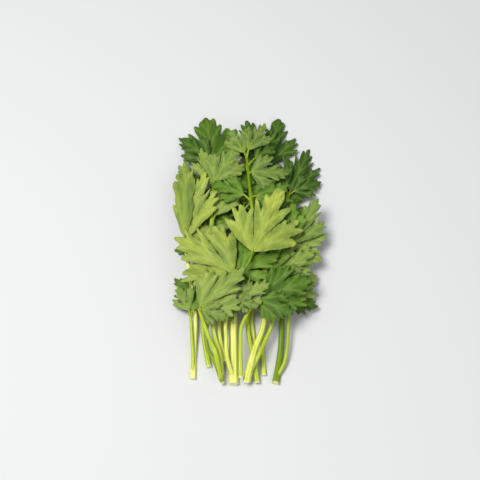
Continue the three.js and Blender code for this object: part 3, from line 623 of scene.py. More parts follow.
def edge_points(corners, turn, swell, strength):
    """The points along a leaflet's edge, from its corners."""
    count = len(corners)
    size = np.linalg.norm(corners, axis=1).max()
    points, firm, teeth = [], [], []
    for i in range(count):
        j = (i + 1) % count
        p, q = corners[i], corners[j]
        length = math.hypot(*(q - p))
        steps = max(2, math.ceil(length / EDGE_STEP))
        t = np.arange(steps) / steps
        from_notch = t if turn[i] < turn[j] else 1 - t
        most = MOST_BULGE * size * (CLEFT_BULGE if min(turn[i], turn[j]) < -CLEFT_TURN else 1)
        crown = CROWN * from_notch ** 2 * (1 - from_notch)
        out = min(BULGE * length, most) * swell[i] * crown
        normal = np.array([q[1] - p[1], p[0] - q[0]]) / length
        points.append(lerp(p, q, t[:, None]) + strength * out[:, None] * normal)
        gives = np.full(steps, SIDE_YIELD)
        gives[0] = NOTCH_YIELD if turn[i] < 0 else 1
        firm.append(gives)
        in_teeth = (1 - from_notch) * length / TOOTH
        within = in_teeth % 1
        rise = np.minimum(1 - within, TOOTH_STEEP * within) * np.clip(TEETH - in_teeth, 0, 1)
        toothless = i == 0 or j == 0 or length < TOOTH
        teeth.append(np.zeros(steps) if toothless else strength * TOOTH_RISE * rise)
    points, firm, teeth = (np.concatenate(values) for values in (points, firm, teeth))
    base = points[0].copy()
    for _ in range(ROUNDING):
        middle = (np.roll(points, 1, 0) + np.roll(points, -1, 0)) / 2
        points = points + ROUNDING_SHARE * firm[:, None] * (middle - points)
    ahead = np.roll(points, -1, 0) - np.roll(points, 1, 0)
    normals = np.column_stack([ahead[:, 1], -ahead[:, 0]]) / np.linalg.norm(ahead, axis=1)[:, None]
    points = points + teeth[:, None] * normals
    points[0] = base
    return points


def inside(outline, points):
    """Which points lie within the outline."""
    x, y = points[:, 0, None], points[:, 1, None]
    ax, ay = outline[:, 0], outline[:, 1]
    bx, by = np.roll(ax, -1), np.roll(ay, -1)
    spans = (ay > y) != (by > y)
    rise = np.where(by == ay, 1, by - ay)
    return (spans & (x < ax + (y - ay) / rise * (bx - ax))).sum(1) % 2 == 1


# ---------- the veins and the blade of a leaflet ----------
VEIN_REACH = 0.3  # share of the leaflet within which no vein ends
MAIN_END, SIDE_END = 0.96, 0.95  # share of the way to its tip that a vein runs
SIDE_LOBE_BEND = 0.85  # how near a side lobe's vein bends towards its rib
NEAR_MAIN = 1.2  # millimetres from its lobe's main vein within which a tip gets no vein
FORK_BACK = 2.1  # how far before its tip a side vein forks off, per mm between that tip and the main vein
FIRST_FORK, LAST_FORK = 0.1, 0.92  # shares of the main vein between which the others fork off
FORK_BEND = 0.4  # share of its length over which a side vein follows the main one
ROW_STEP, CLEAR_OF_LINES = 0.866, 0.62  # distance between rows, and from the edge and veins, per point's
WELD = 1e-4  # millimetres within which points are one
EVENINGS, EVENING = 36, 0.6  # how often a blade's height is evened out, and how far each time
LONG_RUFFLE, SHORT_RUFFLE, SHORT_SHARE = 9, 4, 0.4  # millimetres of edge, and the short ones' height
RUFFLE_DEPTH, CALM_BASE = 2.2, 8  # how far in from the edge and out to their full height ruffles reach
PUFF_SIDE, PUFF_RIM = 1.3, 1.5  # millimetres beside a vein and in from the edge where the blade swells
VEIN_WIDTH, PAINTED_LIGHT_REACH = 0.45, 1.4  # millimetres beside a vein where it stands out, and where painted light lightens the blade, with painted shade further off
VEIN_START, LEAST_VEIN = 1.15, 0.25  # strength of a vein at the base and towards the tip
THINNED, RIM = 0.55, 0.5  # share of its thickness that a blade loses at its edge, and over what width
GROOVED = 0.6  # depth of a vein's groove above, as a share of its ridge below
FAN_ROOT, FAN_SCALE = 0.15, 0.1  # how far behind the base the streaks meet, and their scale
VEIN_SINK = 0.2  # how far a main vein's middle lies off the blade's middle, towards its back


def leaflet_veins(leaflet, step):
    """The veins in the leaflet's own plan: a main one to each lobe's tip, then one to each of its teeth."""
    plan, shape = leaflet.plan, OUTLINES[leaflet.row.outline]
    ribs, corners = plan[:LOBES], plan[LOBES:]
    turn = corner_turns(corners)
    lobe = np.zeros(len(corners), int)
    lobe[1:len(shape.half) - shape.gap] = 1
    lobe[len(shape.half) + 2 + shape.gap:] = 2
    reach = np.hypot(corners[:, 0], corners[:, 1])
    tips = [i for i in range(1, len(corners)) if turn[i] > TIP_TURN and reach[i] > VEIN_REACH * reach.max()]
    mains, sides = [], []
    for k in range(LOBES):
        own = [i for i in tips if lobe[i] == k]
        if not own:
            continue
        chief = max(own, key=lambda i: reach[i])
        bend = ribs[k] * (SIDE_LOBE_BEND if k else 1)
        main = curve_between(np.zeros(2), bend, MAIN_END * corners[chief], step)
        length = side_lengths(main).sum()
        mains.append(main)
        for i in own:
            off = np.linalg.norm(main - corners[i], axis=1)
            if i == chief or off.min() < NEAR_MAIN:
                continue
            fork = int(off.argmin()) / (len(main) - 1) * length - FORK_BACK * off.min()
            start, direction = along_line(main, min(max(fork, FIRST_FORK * length), LAST_FORK * length))
            tip = lerp(start, corners[i], SIDE_END)
            control = start + direction * FORK_BEND * math.hypot(*(tip - start))
            sides.append(curve_between(start, control, tip, step))
    return mains, sides


def points_within(outline, vein_points, step):
    """Points in even rows between the edge and the veins."""
    low, high = outline.min(0), outline.max(0)
    columns = np.arange(low[0], high[0], step)
    rows = np.arange(low[1], high[1], step * ROW_STEP)
    grid = np.concatenate([np.column_stack([columns + (r % 2) * step / 2, np.full(len(columns), y)])
                           for r, y in enumerate(rows)])
    grid = grid[inside(outline, grid)]
    for lines in (outline, vein_points):
        grid = grid[distances(grid, lines).min(1) > CLEAR_OF_LINES * step]
    return grid


def blade_mesh(leaflet, step, random):
    """A leaflet's middle surface: its points, faces and outline, its veins' numbers and how many are main."""
    outline = toothed_outline(leaflet.plan[LOBES:], random)
    mains, sides = leaflet_veins(leaflet, step)
    veins = mains + sides
    vein_points = np.concatenate(veins)
    given = np.concatenate([outline, vein_points, points_within(outline, vein_points, step)])
    first = len(outline)
    edges = [(i, (i + 1) % first) for i in range(first)]
    vein_numbers = []
    for vein in veins:
        numbers = list(range(first, first + len(vein)))
        edges.extend(zip(numbers, numbers[1:]))
        vein_numbers.append(numbers)
        first += len(vein)
    points, _, faces, olds_of, _, _ = delaunay_2d_cdt([Vector(p) for p in given], edges, [], 1, WELD)
    points, faces = np.array([tuple(p) for p in points]), np.array(faces)
    place = {old: new for new, olds in enumerate(olds_of) for old in olds}
    used = np.unique(faces)
    renumber = np.full(len(points), -1)
    renumber[used] = np.arange(len(used))
    lines = [[renumber[place[n]] for n in numbers if renumber[place[n]] >= 0] for numbers in vein_numbers]
    points, faces = points[used], renumber[faces]
    a, b, c = points[faces.T]
    turned = cross(b - a, c - a) < 0
    faces[turned] = faces[turned][:, ::-1]
    return points, faces, outline, lines, len(mains)


def heights_on(leaflet, points):
    """Height of each plan point on the leaflet's coarse faces."""
    faces = leaflet.faces
    shares = corner_shares(points[:, None], *leaflet.plan[faces.T])
    best = shares.min(2).argmax(1)
    return (shares[np.arange(len(points)), best] * leaflet.z[faces[best]]).sum(1)


def softened(values, faces):
    """Values that are evened out between neighbouring points."""
    links = face_sides(faces)
    links = np.concatenate([links, links[:, ::-1]])
    weight = np.bincount(links[:, 0], minlength=len(values))
    for _ in range(EVENINGS):
        mean = np.bincount(links[:, 0], values[links[:, 1]], minlength=len(values)) / weight
        values = lerp(values, mean, EVENING)
    return values


def fading(distance, reach):
    """One at no distance, and next to nothing beyond the reach."""
    return np.exp(-((distance / reach) ** 2))


def closed_shell(upper, lower, faces):
    """The points and faces of a closed blade between two surfaces, and how many faces its rim has."""
    count = len(upper)
    links = face_sides(faces)
    rim = links[~np.isin(links[:, 0] * count + links[:, 1], links[:, 1] * count + links[:, 0])]
    p, q = rim.T
    rims = [np.column_stack([p, p + count, q + count]), np.column_stack([p, q + count, q])]
    shell = np.concatenate([faces, faces[:, ::-1] + count, *rims])
    return np.concatenate([upper, lower]), shell, 2 * len(rim)


def grow_leaflet(leaflet, sizes, shift, random):
    """One leaflet's closed blade, in metres, and the lines that its main veins follow."""
    points, faces, outline, lines, mains = blade_mesh(leaflet, sizes.grain / MM, random)
    row = leaflet.row
    vein_distance = distances(points, points[np.concatenate([np.array(line, int) for line in lines])]).min(1)
    to_edge = distances(points, outline)
    edge_distance, walked = to_edge.min(1), to_edge.argmin(1) * EDGE_STEP
    phase = PHASES * next(random)
    wave = np.sin(walked * 2 * math.pi / LONG_RUFFLE + phase)
    wave = wave + SHORT_SHARE * np.sin(walked * 2 * math.pi / SHORT_RUFFLE + 2 * phase)
    from_base = np.hypot(points[:, 0], points[:, 1])
    ruffle = wave * np.exp(-edge_distance / RUFFLE_DEPTH) * np.minimum(1, from_base / CALM_BASE)
    puff = (1 - fading(vein_distance, PUFF_SIDE)) * np.minimum(1, edge_distance / PUFF_RIM)
    z = softened(heights_on(leaflet, points), faces)
    z = z + sizes.ruffle / MM * ruffle + row.side * sizes.puff / MM * puff
    _, x, y = seen_from_above(row, leaflet.start, points)
    middle = (np.column_stack([x, y, z]) + shift) * MM
    normals = surface_normals(middle, faces)
    vein = fading(vein_distance, VEIN_WIDTH) * np.clip(VEIN_START - from_base / row.length, LEAST_VEIN, 1)
    half = sizes.blade / 2 * (1 - THINNED * np.exp(-edge_distance / RIM))
    ridge, groove = sizes.ridge * vein, -GROOVED * sizes.ridge * vein
    upper = middle + normals * (half + (groove if row.side > 0 else ridge))[:, None]
    lower = middle - normals * (half + (ridge if row.side > 0 else groove))[:, None]
    xyz, shell, rim = closed_shell(upper, lower, faces)
    angle = np.arctan2(points[:, 0], points[:, 1] + FAN_ROOT * row.length)
    fan = np.column_stack([angle * row.length * FAN_SCALE, from_base * FAN_SCALE])
    return {
        "xyz": xyz,
        "faces": shell,
        "smooth": np.arange(len(shell)) < len(shell) - rim,
        "uv": np.tile(fan, (2, 1)),
        "back": np.repeat([float(row.side < 0), float(row.side > 0)], len(points)),
        "vein": np.tile(vein, 2),
        # Painted light along the veins and painted shade between them, where the blade swells.
        "painted_vein_light": np.tile(fading(vein_distance, PAINTED_LIGHT_REACH), 2),
        "edge": np.tile(edge_distance, 2) * MM,
        "lines": [middle[line] - row.side * VEIN_SINK * MM * normals[line] for line in lines[:mains]],
    }


# How light the leaflets are, from the darkest to the lightest, in the order of each stalk's leaflets: partly
# their own tone and partly painted light and shade, set leaflet by leaflet.
LEAFLET_TONE_AND_PAINTED_LIGHT = {
    "far_left": (0.15, -0.7, 0, 0, -0.2, -0.2), "far_middle": (-0.7, -0.5, -0.3, -0.3, -0.3, 0),
    "far_right": (-0.8, -0.9, -0.9, -0.4, -0.4), "inner": (0.6, 0.2, 0.8, 0, 0.6), "left": (0.5, 0.85, 0),
    "left_low": (0.5, 0), "centre": (0.95,), "middle": (1, 1, 0.55), "middle_low": (-0.2, -0.7, 0),
    "near_left": (0.1, -0.4), "near_right": (0, -0.2), "upper_left": (0, 0.4, 0.4, 0.1),
    "upper_middle": (-0.8, -0.3, -0.4, -0.5, 0.4, 0.3), "right": (0.4, -0.2, 1, 0, 0.3),
    "right_low": (-0.9, 0), "lower_right": (0.05, 1, -0.9),
}
TONE_RANGE = 0.3  # how far chance moves the others from the middle tone
# How far a stalk's leaflets lean towards ripe yellow.
RIPENESS = {
    "centre": (0.7,), "middle": (0, 0, 0.6), "left": (0.4, 0.6, 0.5), "near_left": (0.3, 0.4),
    "middle_low": (0.3, 0.1, 0),
}
# How pale the stalks are, from saturated green to nearly white.
PALENESS = {
    "middle": 1.5, "upper_middle": 0.65, "centre": -0.65, "middle_low": 0.6, "inner": 0.6, "left": 1.25,
    "far_middle": 0.6, "right": -0.85, "right_low": -0.2, "low_right": 0.3, "upper_left": 0.3,
}


@functools.cache
def laid_bunch():
    """Every stalk where it lies in the pile, and the shift in millimetres from the pile to the solids."""
    pile = Pile()
    for index, stalk in enumerate(STALKS):
        pile.lay_stalk(stalk, index)
    low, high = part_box("sprig_01")
    reach = np.concatenate([leaflet.xy for laid in pile.laid.values() if laid.stalk.sprig == "sprig_01"
                            for leaflet in laid.leaflets])
    shift = np.array([low.x / MM - reach[:, 0].min(), high.y / MM - reach[:, 1].max(), 0])
    return pile.laid, shift


@functools.cache
def grown_leaflets(name):
    """The grown leaflets of one stalk."""
    laid, shift = laid_bunch()
    stalk = laid[name]
    grown = []
    for k, leaflet in enumerate(stalk.leaflets):
        random = draws(GROWTH_SEEDS, stalk.index, k)
        made = grow_leaflet(leaflet, bpy.context.scene.parsley_sizes, shift, random)
        # A listed tone is partly the leaflet's own tone and partly painted light and shade; the other stalks'
        # tones differ at random.
        made["tone_and_painted_light"] = LEAFLET_TONE_AND_PAINTED_LIGHT[name][k] if name in LEAFLET_TONE_AND_PAINTED_LIGHT else TONE_RANGE * next(random)
        made["ripe"] = RIPENESS[name][k] if name in RIPENESS else 0
        made["joint"] = leaflet.joint
        grown.append(made)
    return grown


def stalks_of(sprig):
    return [laid for laid in laid_bunch()[0].values() if laid.stalk.sprig == sprig]


def new_object(name, data):
    obj = bpy.data.objects.new(name, data)
    bpy.context.scene.collection.objects.link(obj)
    return obj


def set_floats(mesh, name, values):
    mesh.attributes.new(name, "FLOAT", "POINT").data.foreach_set("value", np.asarray(values, np.float32))


def leaflets_piece(sprig, material):
    """One mesh of all the leaflets that a sprig carries."""
    grown = [made for laid in stalks_of(sprig) for made in grown_leaflets(laid.stalk.name)]
    counts = [len(made["xyz"]) for made in grown]

    def joined(name):
        return np.concatenate([made[name] for made in grown])

    firsts = np.repeat(np.cumsum([0, *counts[:-1]]), [len(made["faces"]) for made in grown])
    faces = joined("faces") + firsts[:, None]
    mesh = bpy.data.meshes.new(f"leaflets_{sprig}")
    mesh.from_pydata(joined("xyz"), [], faces.tolist())
    mesh.polygons.foreach_set("use_smooth", joined("smooth"))
    for name in ("back", "vein", "painted_vein_light", "edge"):
        set_floats(mesh, name, joined(name))
    for name in ("tone_and_painted_light", "ripe"):
        set_floats(mesh, name, np.repeat([made[name] for made in grown], counts))
    uv = joined("uv")[faces.ravel()].ravel().astype(np.float32)
    mesh.uv_layers.new(name="fan").data.foreach_set("uv", uv)
    mesh.materials.append(material)
    mesh.update()
    return new_object(mesh.name, mesh)


# ---------- stalks ----------
SNUG = 0.92  # a round stalk's radius as a share of its six-sided solid's
FLARE, FLARE_LENGTH = 0.1, 5  # how much thicker a cut end is, and over how many millimetres
PALE_LENGTH, FADE_LENGTH = 105, 25  # where a stalk's own paleness ends, and over what length it fades
FAR_PALENESS, VEIN_PALENESS = -0.55, -0.25  # beyond that, and of necks and veins
UNCUT = 200  # millimetres that stand for the distance from a cut end where there is none
STALK_TIP = 1.1  # most radius of a stalk's tip, as a share of a neck's
RIB_RADIUS = 0.26  # radius of a leaflet's main vein at the blade's foot
SIDE_LOBE_VEIN, VEIN_TAPER = 0.75, 0.75  # share of it in a side lobe, and that it loses on its way
NECK_ROOT, NECK_ROOT_SHARE = 6, 0.6  # where a neck starts in its stalk before its joint, and its next point
NECK_START, NECK_NARROWING, BLADE_FOOT = 0.8, 0.7, 0.8  # its radius there and at the blade's foot


def stalk_line(laid, shift, tip_radius):
    """The line of one stalk in metres, with its radius, distance from the cut end and paleness."""
    before = 0
    if laid.stalk.fork:
        origin, number = laid.stalk.fork
        before = laid_bunch()[0][origin].walked[number]
    foot = laid.walked[laid.rings] + before
    radius = SNUG * laid.radius[laid.rings]
    radius = radius * (1 + FLARE * np.exp(-foot / FLARE_LENGTH))
    radius[-1] = min(radius[-1], tip_radius)
    near = np.clip((PALE_LENGTH - foot) / FADE_LENGTH, 0, 1)
    pale = lerp(FAR_PALENESS, PALENESS.get(laid.stalk.name, 0), near)
    return (laid.xyz[laid.rings] + shift) * MM, radius * MM, foot * MM, pale


def neck_lines(made, laid, shift, neck):
    """The lines of one leaflet's neck and main veins."""
    joint = made["joint"]
    behind = first_where(laid.walked >= laid.walked[joint] - NECK_ROOT)
    inner = NECK_START * (SNUG * laid.radius[behind])
    root = np.array([laid.xyz[behind], lerp(laid.xyz[behind], laid.xyz[joint], NECK_ROOT_SHARE)])
    lines = []
    for k, vein in enumerate(made["lines"]):
        line = vein[::2]
        taper = 1 - VEIN_TAPER * np.linspace(0, 1, len(line))
        thickness = RIB_RADIUS * (SIDE_LOBE_VEIN if k else 1) * taper
        if k == 0:
            line = np.concatenate([(root + shift) * MM, line])
            thickness = np.concatenate([[inner, lerp(inner, neck / MM, NECK_NARROWING)], thickness])
            thickness[2] = BLADE_FOOT * neck / MM
        foot, pale = (np.full(len(line), value) for value in (UNCUT * MM, VEIN_PALENESS))
        lines.append((line, thickness * MM, foot, pale))
    return lines


class Nodes:
    """A node tree that is put together one node at a time. A node stands for its first output."""

    def __init__(self, tree):
        self.tree = tree

    def fill(self, socket, value):
        """Gives a socket a value, or links it to a node or to another socket."""
        if isinstance(value, bpy.types.Node):
            value = value.outputs[0]
        if isinstance(value, bpy.types.NodeSocket):
            self.tree.links.new(value, socket)
        else:
            socket.default_value = value

    def add(self, kind, inputs=None, **settings):
        """Adds a node with its settings, and fills its inputs by name or number."""
        node = self.tree.nodes.new(kind)
        for name, value in settings.items():
            setattr(node, name, value)
        for key, value in (inputs or {}).items():
            self.fill(node.inputs[key], value)
        return node

    def math(self, operation, *values):
        return self.add("ShaderNodeMath", dict(enumerate(values)), operation=operation)

    def times(self, first, second):
        return self.math("MULTIPLY", first, second)

    def ranged(self, value, low, high, start=0.0, end=1.0):
        """A value moved from one range to another, and held within it."""
        ranges = {"Value": value, "From Min": low, "From Max": high, "To Min": start, "To Max": end}
        return self.add("ShaderNodeMapRange", ranges)

    def attribute(self, name):
        return self.add("ShaderNodeAttribute", attribute_type="GEOMETRY", attribute_name=name).outputs["Fac"]

    def shade(self, ranges, **noises):
        """How much all the marks darken or lighten a skin. A mark is one of the noises, or an attribute."""
        shades = [self.ranged(noises.get(name) or self.attribute(name), *limits)
                  for name, limits in ranges.items()]
        return functools.reduce(self.times, shades)

    def mixed(self, share, *colours, blend="MIX"):
        """A mix of two colours, each a node, a socket or three numbers."""
        linked = bpy.types.Node, bpy.types.NodeSocket
        first, second = (colour if isinstance(colour, linked) else (*colour, 1) for colour in colours)
        inputs = {0: share, 6: first, 7: second}
        return self.add("ShaderNodeMix", inputs, data_type="RGBA", blend_type=blend).outputs[2]

    def shaded(self, colour, *channels):
        """A colour that is multiplied channel by channel."""
        shade = self.add("ShaderNodeCombineColor", dict(enumerate(channels)))
        return self.mixed(1.0, colour, shade, blend="MULTIPLY")

    def streaks(self, place, scale, detail):
        """A noise that is stretched along one way."""
        stretched = self.add("ShaderNodeMapping", {"Vector": place, "Scale": scale})
        return self.add("ShaderNodeTexNoise", {"Vector": stretched, "Scale": 1.0, "Detail": detail})


RIB_POINTS = 3  # points round a stalk for each of its ribs


def stalk_tree():
    """Sweeps a ribbed round along each line of a mesh of edges."""
    tree = bpy.data.node_groups.new("Ribbed stalks", "GeometryNodeTree")
    kinds = {"Geometry": "Geometry", "Ribs": "Int", "Groove": "Float", "Ring": "Float", "Skin": "Material"}
    for name, kind in kinds.items():
        tree.interface.new_socket(name, in_out="INPUT", socket_type=f"NodeSocket{kind}")
    tree.interface.new_socket("Geometry", in_out="OUTPUT", socket_type="NodeSocketGeometry")
    nodes = Nodes(tree)
    given = nodes.add("NodeGroupInput").outputs

    corners = nodes.times(given["Ribs"], RIB_POINTS)
    circle = nodes.add("GeometryNodeCurvePrimitiveCircle", {"Resolution": corners, "Radius": 1.0},
                       mode="RADIUS")
    place = nodes.add("GeometryNodeInputPosition")
    parts = nodes.add("ShaderNodeSeparateXYZ", {0: place}).outputs
    rib = nodes.math("COSINE", nodes.times(nodes.math("ARCTAN2", parts["Y"], parts["X"]), given["Ribs"]))
    scale = nodes.math("ADD", nodes.times(rib, given["Groove"]), 1.0)
    ribbed = nodes.add("ShaderNodeVectorMath", {0: place, "Scale": scale}, operation="SCALE")
    # The rib mark is kept for the skin, which paints a highlight on each rib and shade in each groove.
    marked = nodes.add("GeometryNodeStoreNamedAttribute", {"Geometry": circle, "Name": "rib", "Value": rib},
                       data_type="FLOAT", domain="POINT")
    profile = nodes.add("GeometryNodeSetPosition", {"Geometry": marked, "Position": ribbed})

    curve = nodes.add("GeometryNodeMeshToCurve", {"Mesh": given["Geometry"]})
    smooth = nodes.add("GeometryNodeCurveSplineType", {"Curve": curve}, spline_type="CATMULL_ROM")
    rings = nodes.add("GeometryNodeResampleCurve", {"Curve": smooth, "Length": given["Ring"]}, mode="LENGTH")
    thickness = nodes.add("GeometryNodeInputNamedAttribute", {"Name": "thickness"}, data_type="FLOAT")
    sweep = {"Curve": rings, "Profile Curve": profile, "Scale": thickness, "Fill Caps": True}
    swept = nodes.add("GeometryNodeCurveToMesh", sweep)
    above = nodes.add("ShaderNodeVectorMath", {0: place, 1: (-1.0, -1.0, 0.0)}, operation="MAXIMUM")
    rested = nodes.add("GeometryNodeSetPosition", {"Geometry": swept, "Position": above})
    even = nodes.add("GeometryNodeSetShadeSmooth", {"Geometry": rested})
    whole = nodes.add("GeometryNodeRealizeInstances", {"Geometry": even})
    skinned = nodes.add("GeometryNodeSetMaterial", {"Geometry": whole, "Material": given["Skin"]})
    nodes.add("NodeGroupOutput", {"Geometry": skinned})
    return tree


def swept_piece(name, lines, tree, inputs):
    """A plain mesh of the tubes that the tree sweeps along the lines."""
    mesh = bpy.data.meshes.new(name)
    places, *marks = (np.concatenate(values) for values in zip(*lines))
    ends = np.cumsum([len(line[0]) for line in lines])
    edges = [(i, i + 1) for i in range(len(places) - 1) if i + 1 not in ends]
    mesh.from_pydata(places, edges, [])
    for mark, values in zip(("thickness", "foot", "pale"), marks):
        set_floats(mesh, mark, values)
    obj = new_object(name, mesh)
    modifier = obj.modifiers.new(tree.name, "NODES")
    modifier.node_group = tree
    for socket in tree.interface.items_tree:
        if socket.in_out == "INPUT" and socket.name in inputs:
            modifier[socket.identifier] = inputs[socket.name]
    depsgraph = bpy.context.evaluated_depsgraph_get()
    plain = bpy.data.meshes.new_from_object(obj.evaluated_get(depsgraph), depsgraph=depsgraph)
    obj.modifiers.remove(modifier)
    obj.data = plain
    plain.name = name
    bpy.data.meshes.remove(mesh)
    return obj


def stalks_piece(sprig, tree, skin):
    """One mesh of a sprig's stalks, its leaflets' necks and their main veins."""
    shift = laid_bunch()[1]
    sizes = bpy.context.scene.parsley_sizes
    own = stalks_of(sprig)
    lines = [stalk_line(laid, shift, STALK_TIP * sizes.neck / MM) for laid in own]
    for laid in own:
        for made in grown_leaflets(laid.stalk.name):
            lines.extend(neck_lines(made, laid, shift, sizes.neck))
    inputs = {"Ribs": sizes.ribs, "Groove": sizes.groove, "Ring": sizes.ring, "Skin": skin}
    return swept_piece(f"stalks_{sprig}", lines, tree, inputs)


# ---------- finishes ----------
GLOW = {"Subsurface Radius": (0.5, 1.0, 0.2), "Subsurface Scale": 1.2 * MM}
LEAFLET_FINISH = {"Roughness": 0.5, "Specular IOR Level": 0.13, "Subsurface Weight": 0.08, **GLOW}
STALK_FINISH = {"Roughness": 0.35, "Specular IOR Level": 0.2, "Subsurface Weight": 0.2, **GLOW}
FLOOR_FINISH = {"Base Color": (0.57, 0.57, 0.56, 1), "Roughness": 0.8}
LEAFLET_STREAKS, STALK_STREAKS = (22.0, 1.4, 1.0), (900.0, 60.0, 900.0)  # how fine they are along each axis
# How each mark shades the skin: its lowest and highest value, and the shades there.
# The tone mark is partly each leaflet's own tone and partly painted light and shade; the mark near the veins
# paints light along them and shade between them.
LEAFLET_SHADES = {"broad": (0.3, 0.7, 0.88, 1.12), "fine": (0.35, 0.65, 0.74, 1.26),
                  "tone_and_painted_light": (-1, 1, 0.55, 1.45), "painted_vein_light": (0, 1, 0.84, 1.16)}
# The rib mark paints a highlight on each rib and shade in each groove.
STALK_SHADES = {"rib": (-1, 1, 0.75, 1.15), "fine": (0.3, 0.7, 0.9, 1.1)}
WARMTH = 1.25  # how much faster red darkens and lightens than the other colours
RIPE_PATCHES = (0.3, 0.75, 0.15, 0.75)  # range of the broad noise, and of the ripe colour's share there
VEIN_SHOWS = (0.3, 0.4)  # how much of the vein's colour shows above and on the back
PALE_RIM, RIM_WIDTH = 0.35, 0.6 * MM  # how pale the edge of a leaflet's back is, and how wide
GREENEST, MIDDLING, PALEST = -0.6, 0.3, 1.3  # paleness at which a stalk has each of its three colours
PALE_FOOT, FOOT_PALENESS = 55 * MM, 0.45  # how far from its cut end a stalk is paler, and how much
CUT_FACE = 0.9 * MM  # how far the cut face's colour reaches


def new_material(name, finish):
    """A material with its finish, the nodes that it is put together with, and the inputs of its skin."""
    material = bpy.data.materials.new(name)
    material.use_nodes = True
    skin = material.node_tree.nodes["Principled BSDF"].inputs
    for key, value in finish.items():
        skin[key].default_value = value
    return material, Nodes(material.node_tree), skin


def leaflet_material(colours):
    """Leaflet skin: deep green above and pale green below, with pale veins that fan out, a yellow lean, and
    painted light and shade.
    """
    material, nodes, inputs = new_material("parsley_leaflet", LEAFLET_FINISH)
    fine = nodes.streaks(nodes.add("ShaderNodeUVMap", uv_map="fan"), LEAFLET_STREAKS, detail=3.0)
    place = nodes.add("ShaderNodeTexCoord").outputs["Object"]
    broad = nodes.add("ShaderNodeTexNoise", {"Vector": place, "Scale": 70.0, "Detail": 2.0})
    back = nodes.attribute("back")
    skin = nodes.mixed(back, colours.face, colours.back)
    ripeness = nodes.times(nodes.attribute("ripe"), nodes.ranged(broad, *RIPE_PATCHES))
    skin = nodes.mixed(ripeness, skin, colours.ripe)
    # The shade holds painted light and shade: part of each leaflet's tone, and light along the veins with
    # shade between them.
    shade = nodes.shade(LEAFLET_SHADES, broad=broad, fine=fine)
    skin = nodes.shaded(skin, nodes.math("POWER", shade, WARMTH), shade, shade)
    vein = nodes.times(nodes.attribute("vein"), nodes.ranged(back, 0, 1, *VEIN_SHOWS))
    rim = nodes.times(nodes.ranged(nodes.attribute("edge"), 0, RIM_WIDTH, PALE_RIM, 0), back)
    nodes.fill(inputs["Base Color"], nodes.mixed(nodes.math("MAXIMUM", vein, rim), skin, colours.vein))
    bump = nodes.add("ShaderNodeBump", {"Strength": 0.5, "Distance": 0.3 * MM, "Height": fine})
    nodes.fill(inputs["Normal"], bump)
    return material


def stalk_material(colours):
    """Stalk skin: pale at the cut end, greener towards the leaflets, with painted highlights on the ribs and
    painted shade in the grooves.
    """
    material, nodes, inputs = new_material("parsley_stalk", STALK_FINISH)
    fine = nodes.streaks(nodes.add("ShaderNodeTexCoord").outputs["Object"], STALK_STREAKS, detail=2.0)
    foot = nodes.attribute("foot")
    near_foot = nodes.ranged(foot, 0, PALE_FOOT, 1, 0)
    paleness = nodes.math("ADD", nodes.attribute("pale"), nodes.ranged(near_foot, 0, 1, 0, FOOT_PALENESS))
    skin = nodes.mixed(nodes.ranged(paleness, GREENEST, MIDDLING), colours.deep_stalk, colours.stalk)
    skin = nodes.mixed(nodes.ranged(paleness, MIDDLING, PALEST), skin, colours.foot)
    shade = nodes.shade(STALK_SHADES, fine=fine)
    skin = nodes.shaded(skin, shade, shade, shade)
    nodes.fill(inputs["Base Color"], nodes.mixed(nodes.ranged(foot, 0, CUT_FACE, 1, 0), skin, colours.cut))
    return material


# ---------- the stage ----------
AIM = (-5, 1, 10)  # millimetres in the pile
CAMERA_DISTANCE = 600 * MM
CAMERA_RISE = math.radians(65)
CAMERA_LENS = 83.3
FLOOR_SIDE = 6.0
# Place, side and power of each light.
LIGHTS = {"key": ((-0.33, -0.05, 0.9), 0.4, 10), "fill": ((0.6, -0.6, 0.6), 0.8, 2.8)}
ROOM_COLOUR, ROOM_STRENGTH = (0.9, 0.93, 1, 1), 0.4


def floor_plane():
    half = FLOOR_SIDE / 2
    mesh = bpy.data.meshes.new("floor")
    corners = [(-half, -half, 0), (half, -half, 0), (half, half, 0), (-half, half, 0)]
    mesh.from_pydata(corners, [], [(0, 1, 2, 3)])
    mesh.materials.append(new_material("pale_floor", FLOOR_FINISH)[0])
    return new_object("floor", mesh)


def aimed(name, data, place, back):
    """A light or camera at a place, with its back turned the given way."""
    obj = new_object(name, data)
    obj.location = place
    obj.rotation_euler = (-back).to_track_quat("-Z", "Y").to_euler()
    return obj


def area_light(name, place, side, power, target):
    light = bpy.data.lights.new(name, "AREA")
    light.size = side
    light.energy = power
    aimed(name, light, place, Vector(place) - target)


def studio_camera(target):
    camera = bpy.data.cameras.new("camera")
    camera.lens = CAMERA_LENS
    back = Vector((0, -math.cos(CAMERA_RISE), math.sin(CAMERA_RISE)))
    bpy.context.scene.camera = aimed("camera", camera, target + back * CAMERA_DISTANCE, back)


def soft_room():
    world = bpy.data.worlds.new("soft_room")
    world.use_nodes = True
    background = world.node_tree.nodes["Background"].inputs
    background["Color"].default_value = ROOM_COLOUR
    background["Strength"].default_value = ROOM_STRENGTH
    bpy.context.scene.world = world
    bpy.context.scene.view_settings.view_transform = "Standard"


# ---------- operators ----------
SPRIGS = sorted({stalk.sprig for stalk in STALKS})


def fit(piece, sprig):
    """Puts a finished piece in the place of its solid."""
    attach(piece, "root")
    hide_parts(sprig)


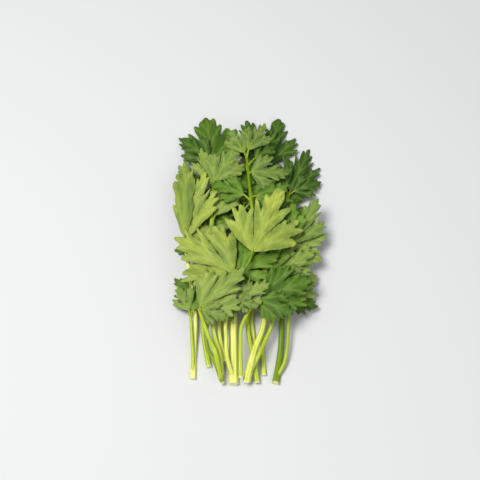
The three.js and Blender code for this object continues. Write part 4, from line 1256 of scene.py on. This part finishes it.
class ParsleyLeaflets(bpy.types.Operator):
    """Grows the toothed, veined leaflets of every sprig"""

    bl_idname = "parsley.leaflets"
    bl_label = "Leaflets"

    def execute(self, context):
        material = leaflet_material(context.scene.parsley_colours)
        for sprig in SPRIGS:
            fit(leaflets_piece(sprig, material), sprig)
        return {"FINISHED"}


class ParsleyStalks(bpy.types.Operator):
    """Grows the ribbed stalks of every sprig, with the necks and main veins of its leaflets"""

    bl_idname = "parsley.stalks"
    bl_label = "Stalks"

    def execute(self, context):
        tree = stalk_tree()
        skin = stalk_material(context.scene.parsley_colours)
        for sprig in SPRIGS:
            fit(stalks_piece(sprig, tree, skin), sprig)
        return {"FINISHED"}


class ParsleyStage(bpy.types.Operator):
    """Sets the pale floor, the soft lights and the camera"""

    bl_idname = "parsley.stage"
    bl_label = "Stage"

    def execute(self, context):
        target = Vector((np.array(AIM) + laid_bunch()[1]) * MM)
        floor_plane()
        for name, light in LIGHTS.items():
            area_light(name, *light, target)
        soft_room()
        studio_camera(target)
        return {"FINISHED"}


class ParsleyPanel(bpy.types.Panel):
    """Lists the bunch's pieces, sizes and colours"""

    bl_idname = "VIEW3D_PT_parsley"
    bl_label = "Parsley bunch"
    bl_space_type = "VIEW_3D"
    bl_region_type = "UI"
    bl_category = "Parsley"

    def draw(self, context):
        for group in (context.scene.parsley_sizes, context.scene.parsley_colours):
            for name in group.bl_rna.properties.keys():
                if name not in ("name", "rna_type"):
                    self.layout.prop(group, name)
        for operator in OPERATORS:
            self.layout.operator(operator.bl_idname)


OPERATORS = (ParsleyLeaflets, ParsleyStalks, ParsleyStage)
CLASSES = (ParsleySizes, ParsleyColours, *OPERATORS, ParsleyPanel)


def register():
    for kind in CLASSES:
        bpy.utils.register_class(kind)
    bpy.types.Scene.parsley_sizes = PointerProperty(type=ParsleySizes)
    bpy.types.Scene.parsley_colours = PointerProperty(type=ParsleyColours)


def unregister():
    del bpy.types.Scene.parsley_colours
    del bpy.types.Scene.parsley_sizes
    for kind in reversed(CLASSES):
        bpy.utils.unregister_class(kind)


def main():
    register()
    bpy.ops.parsley.leaflets()
    bpy.ops.parsley.stalks()
    bpy.ops.parsley.stage()
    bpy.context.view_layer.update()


if __name__ == "__main__":
    main()
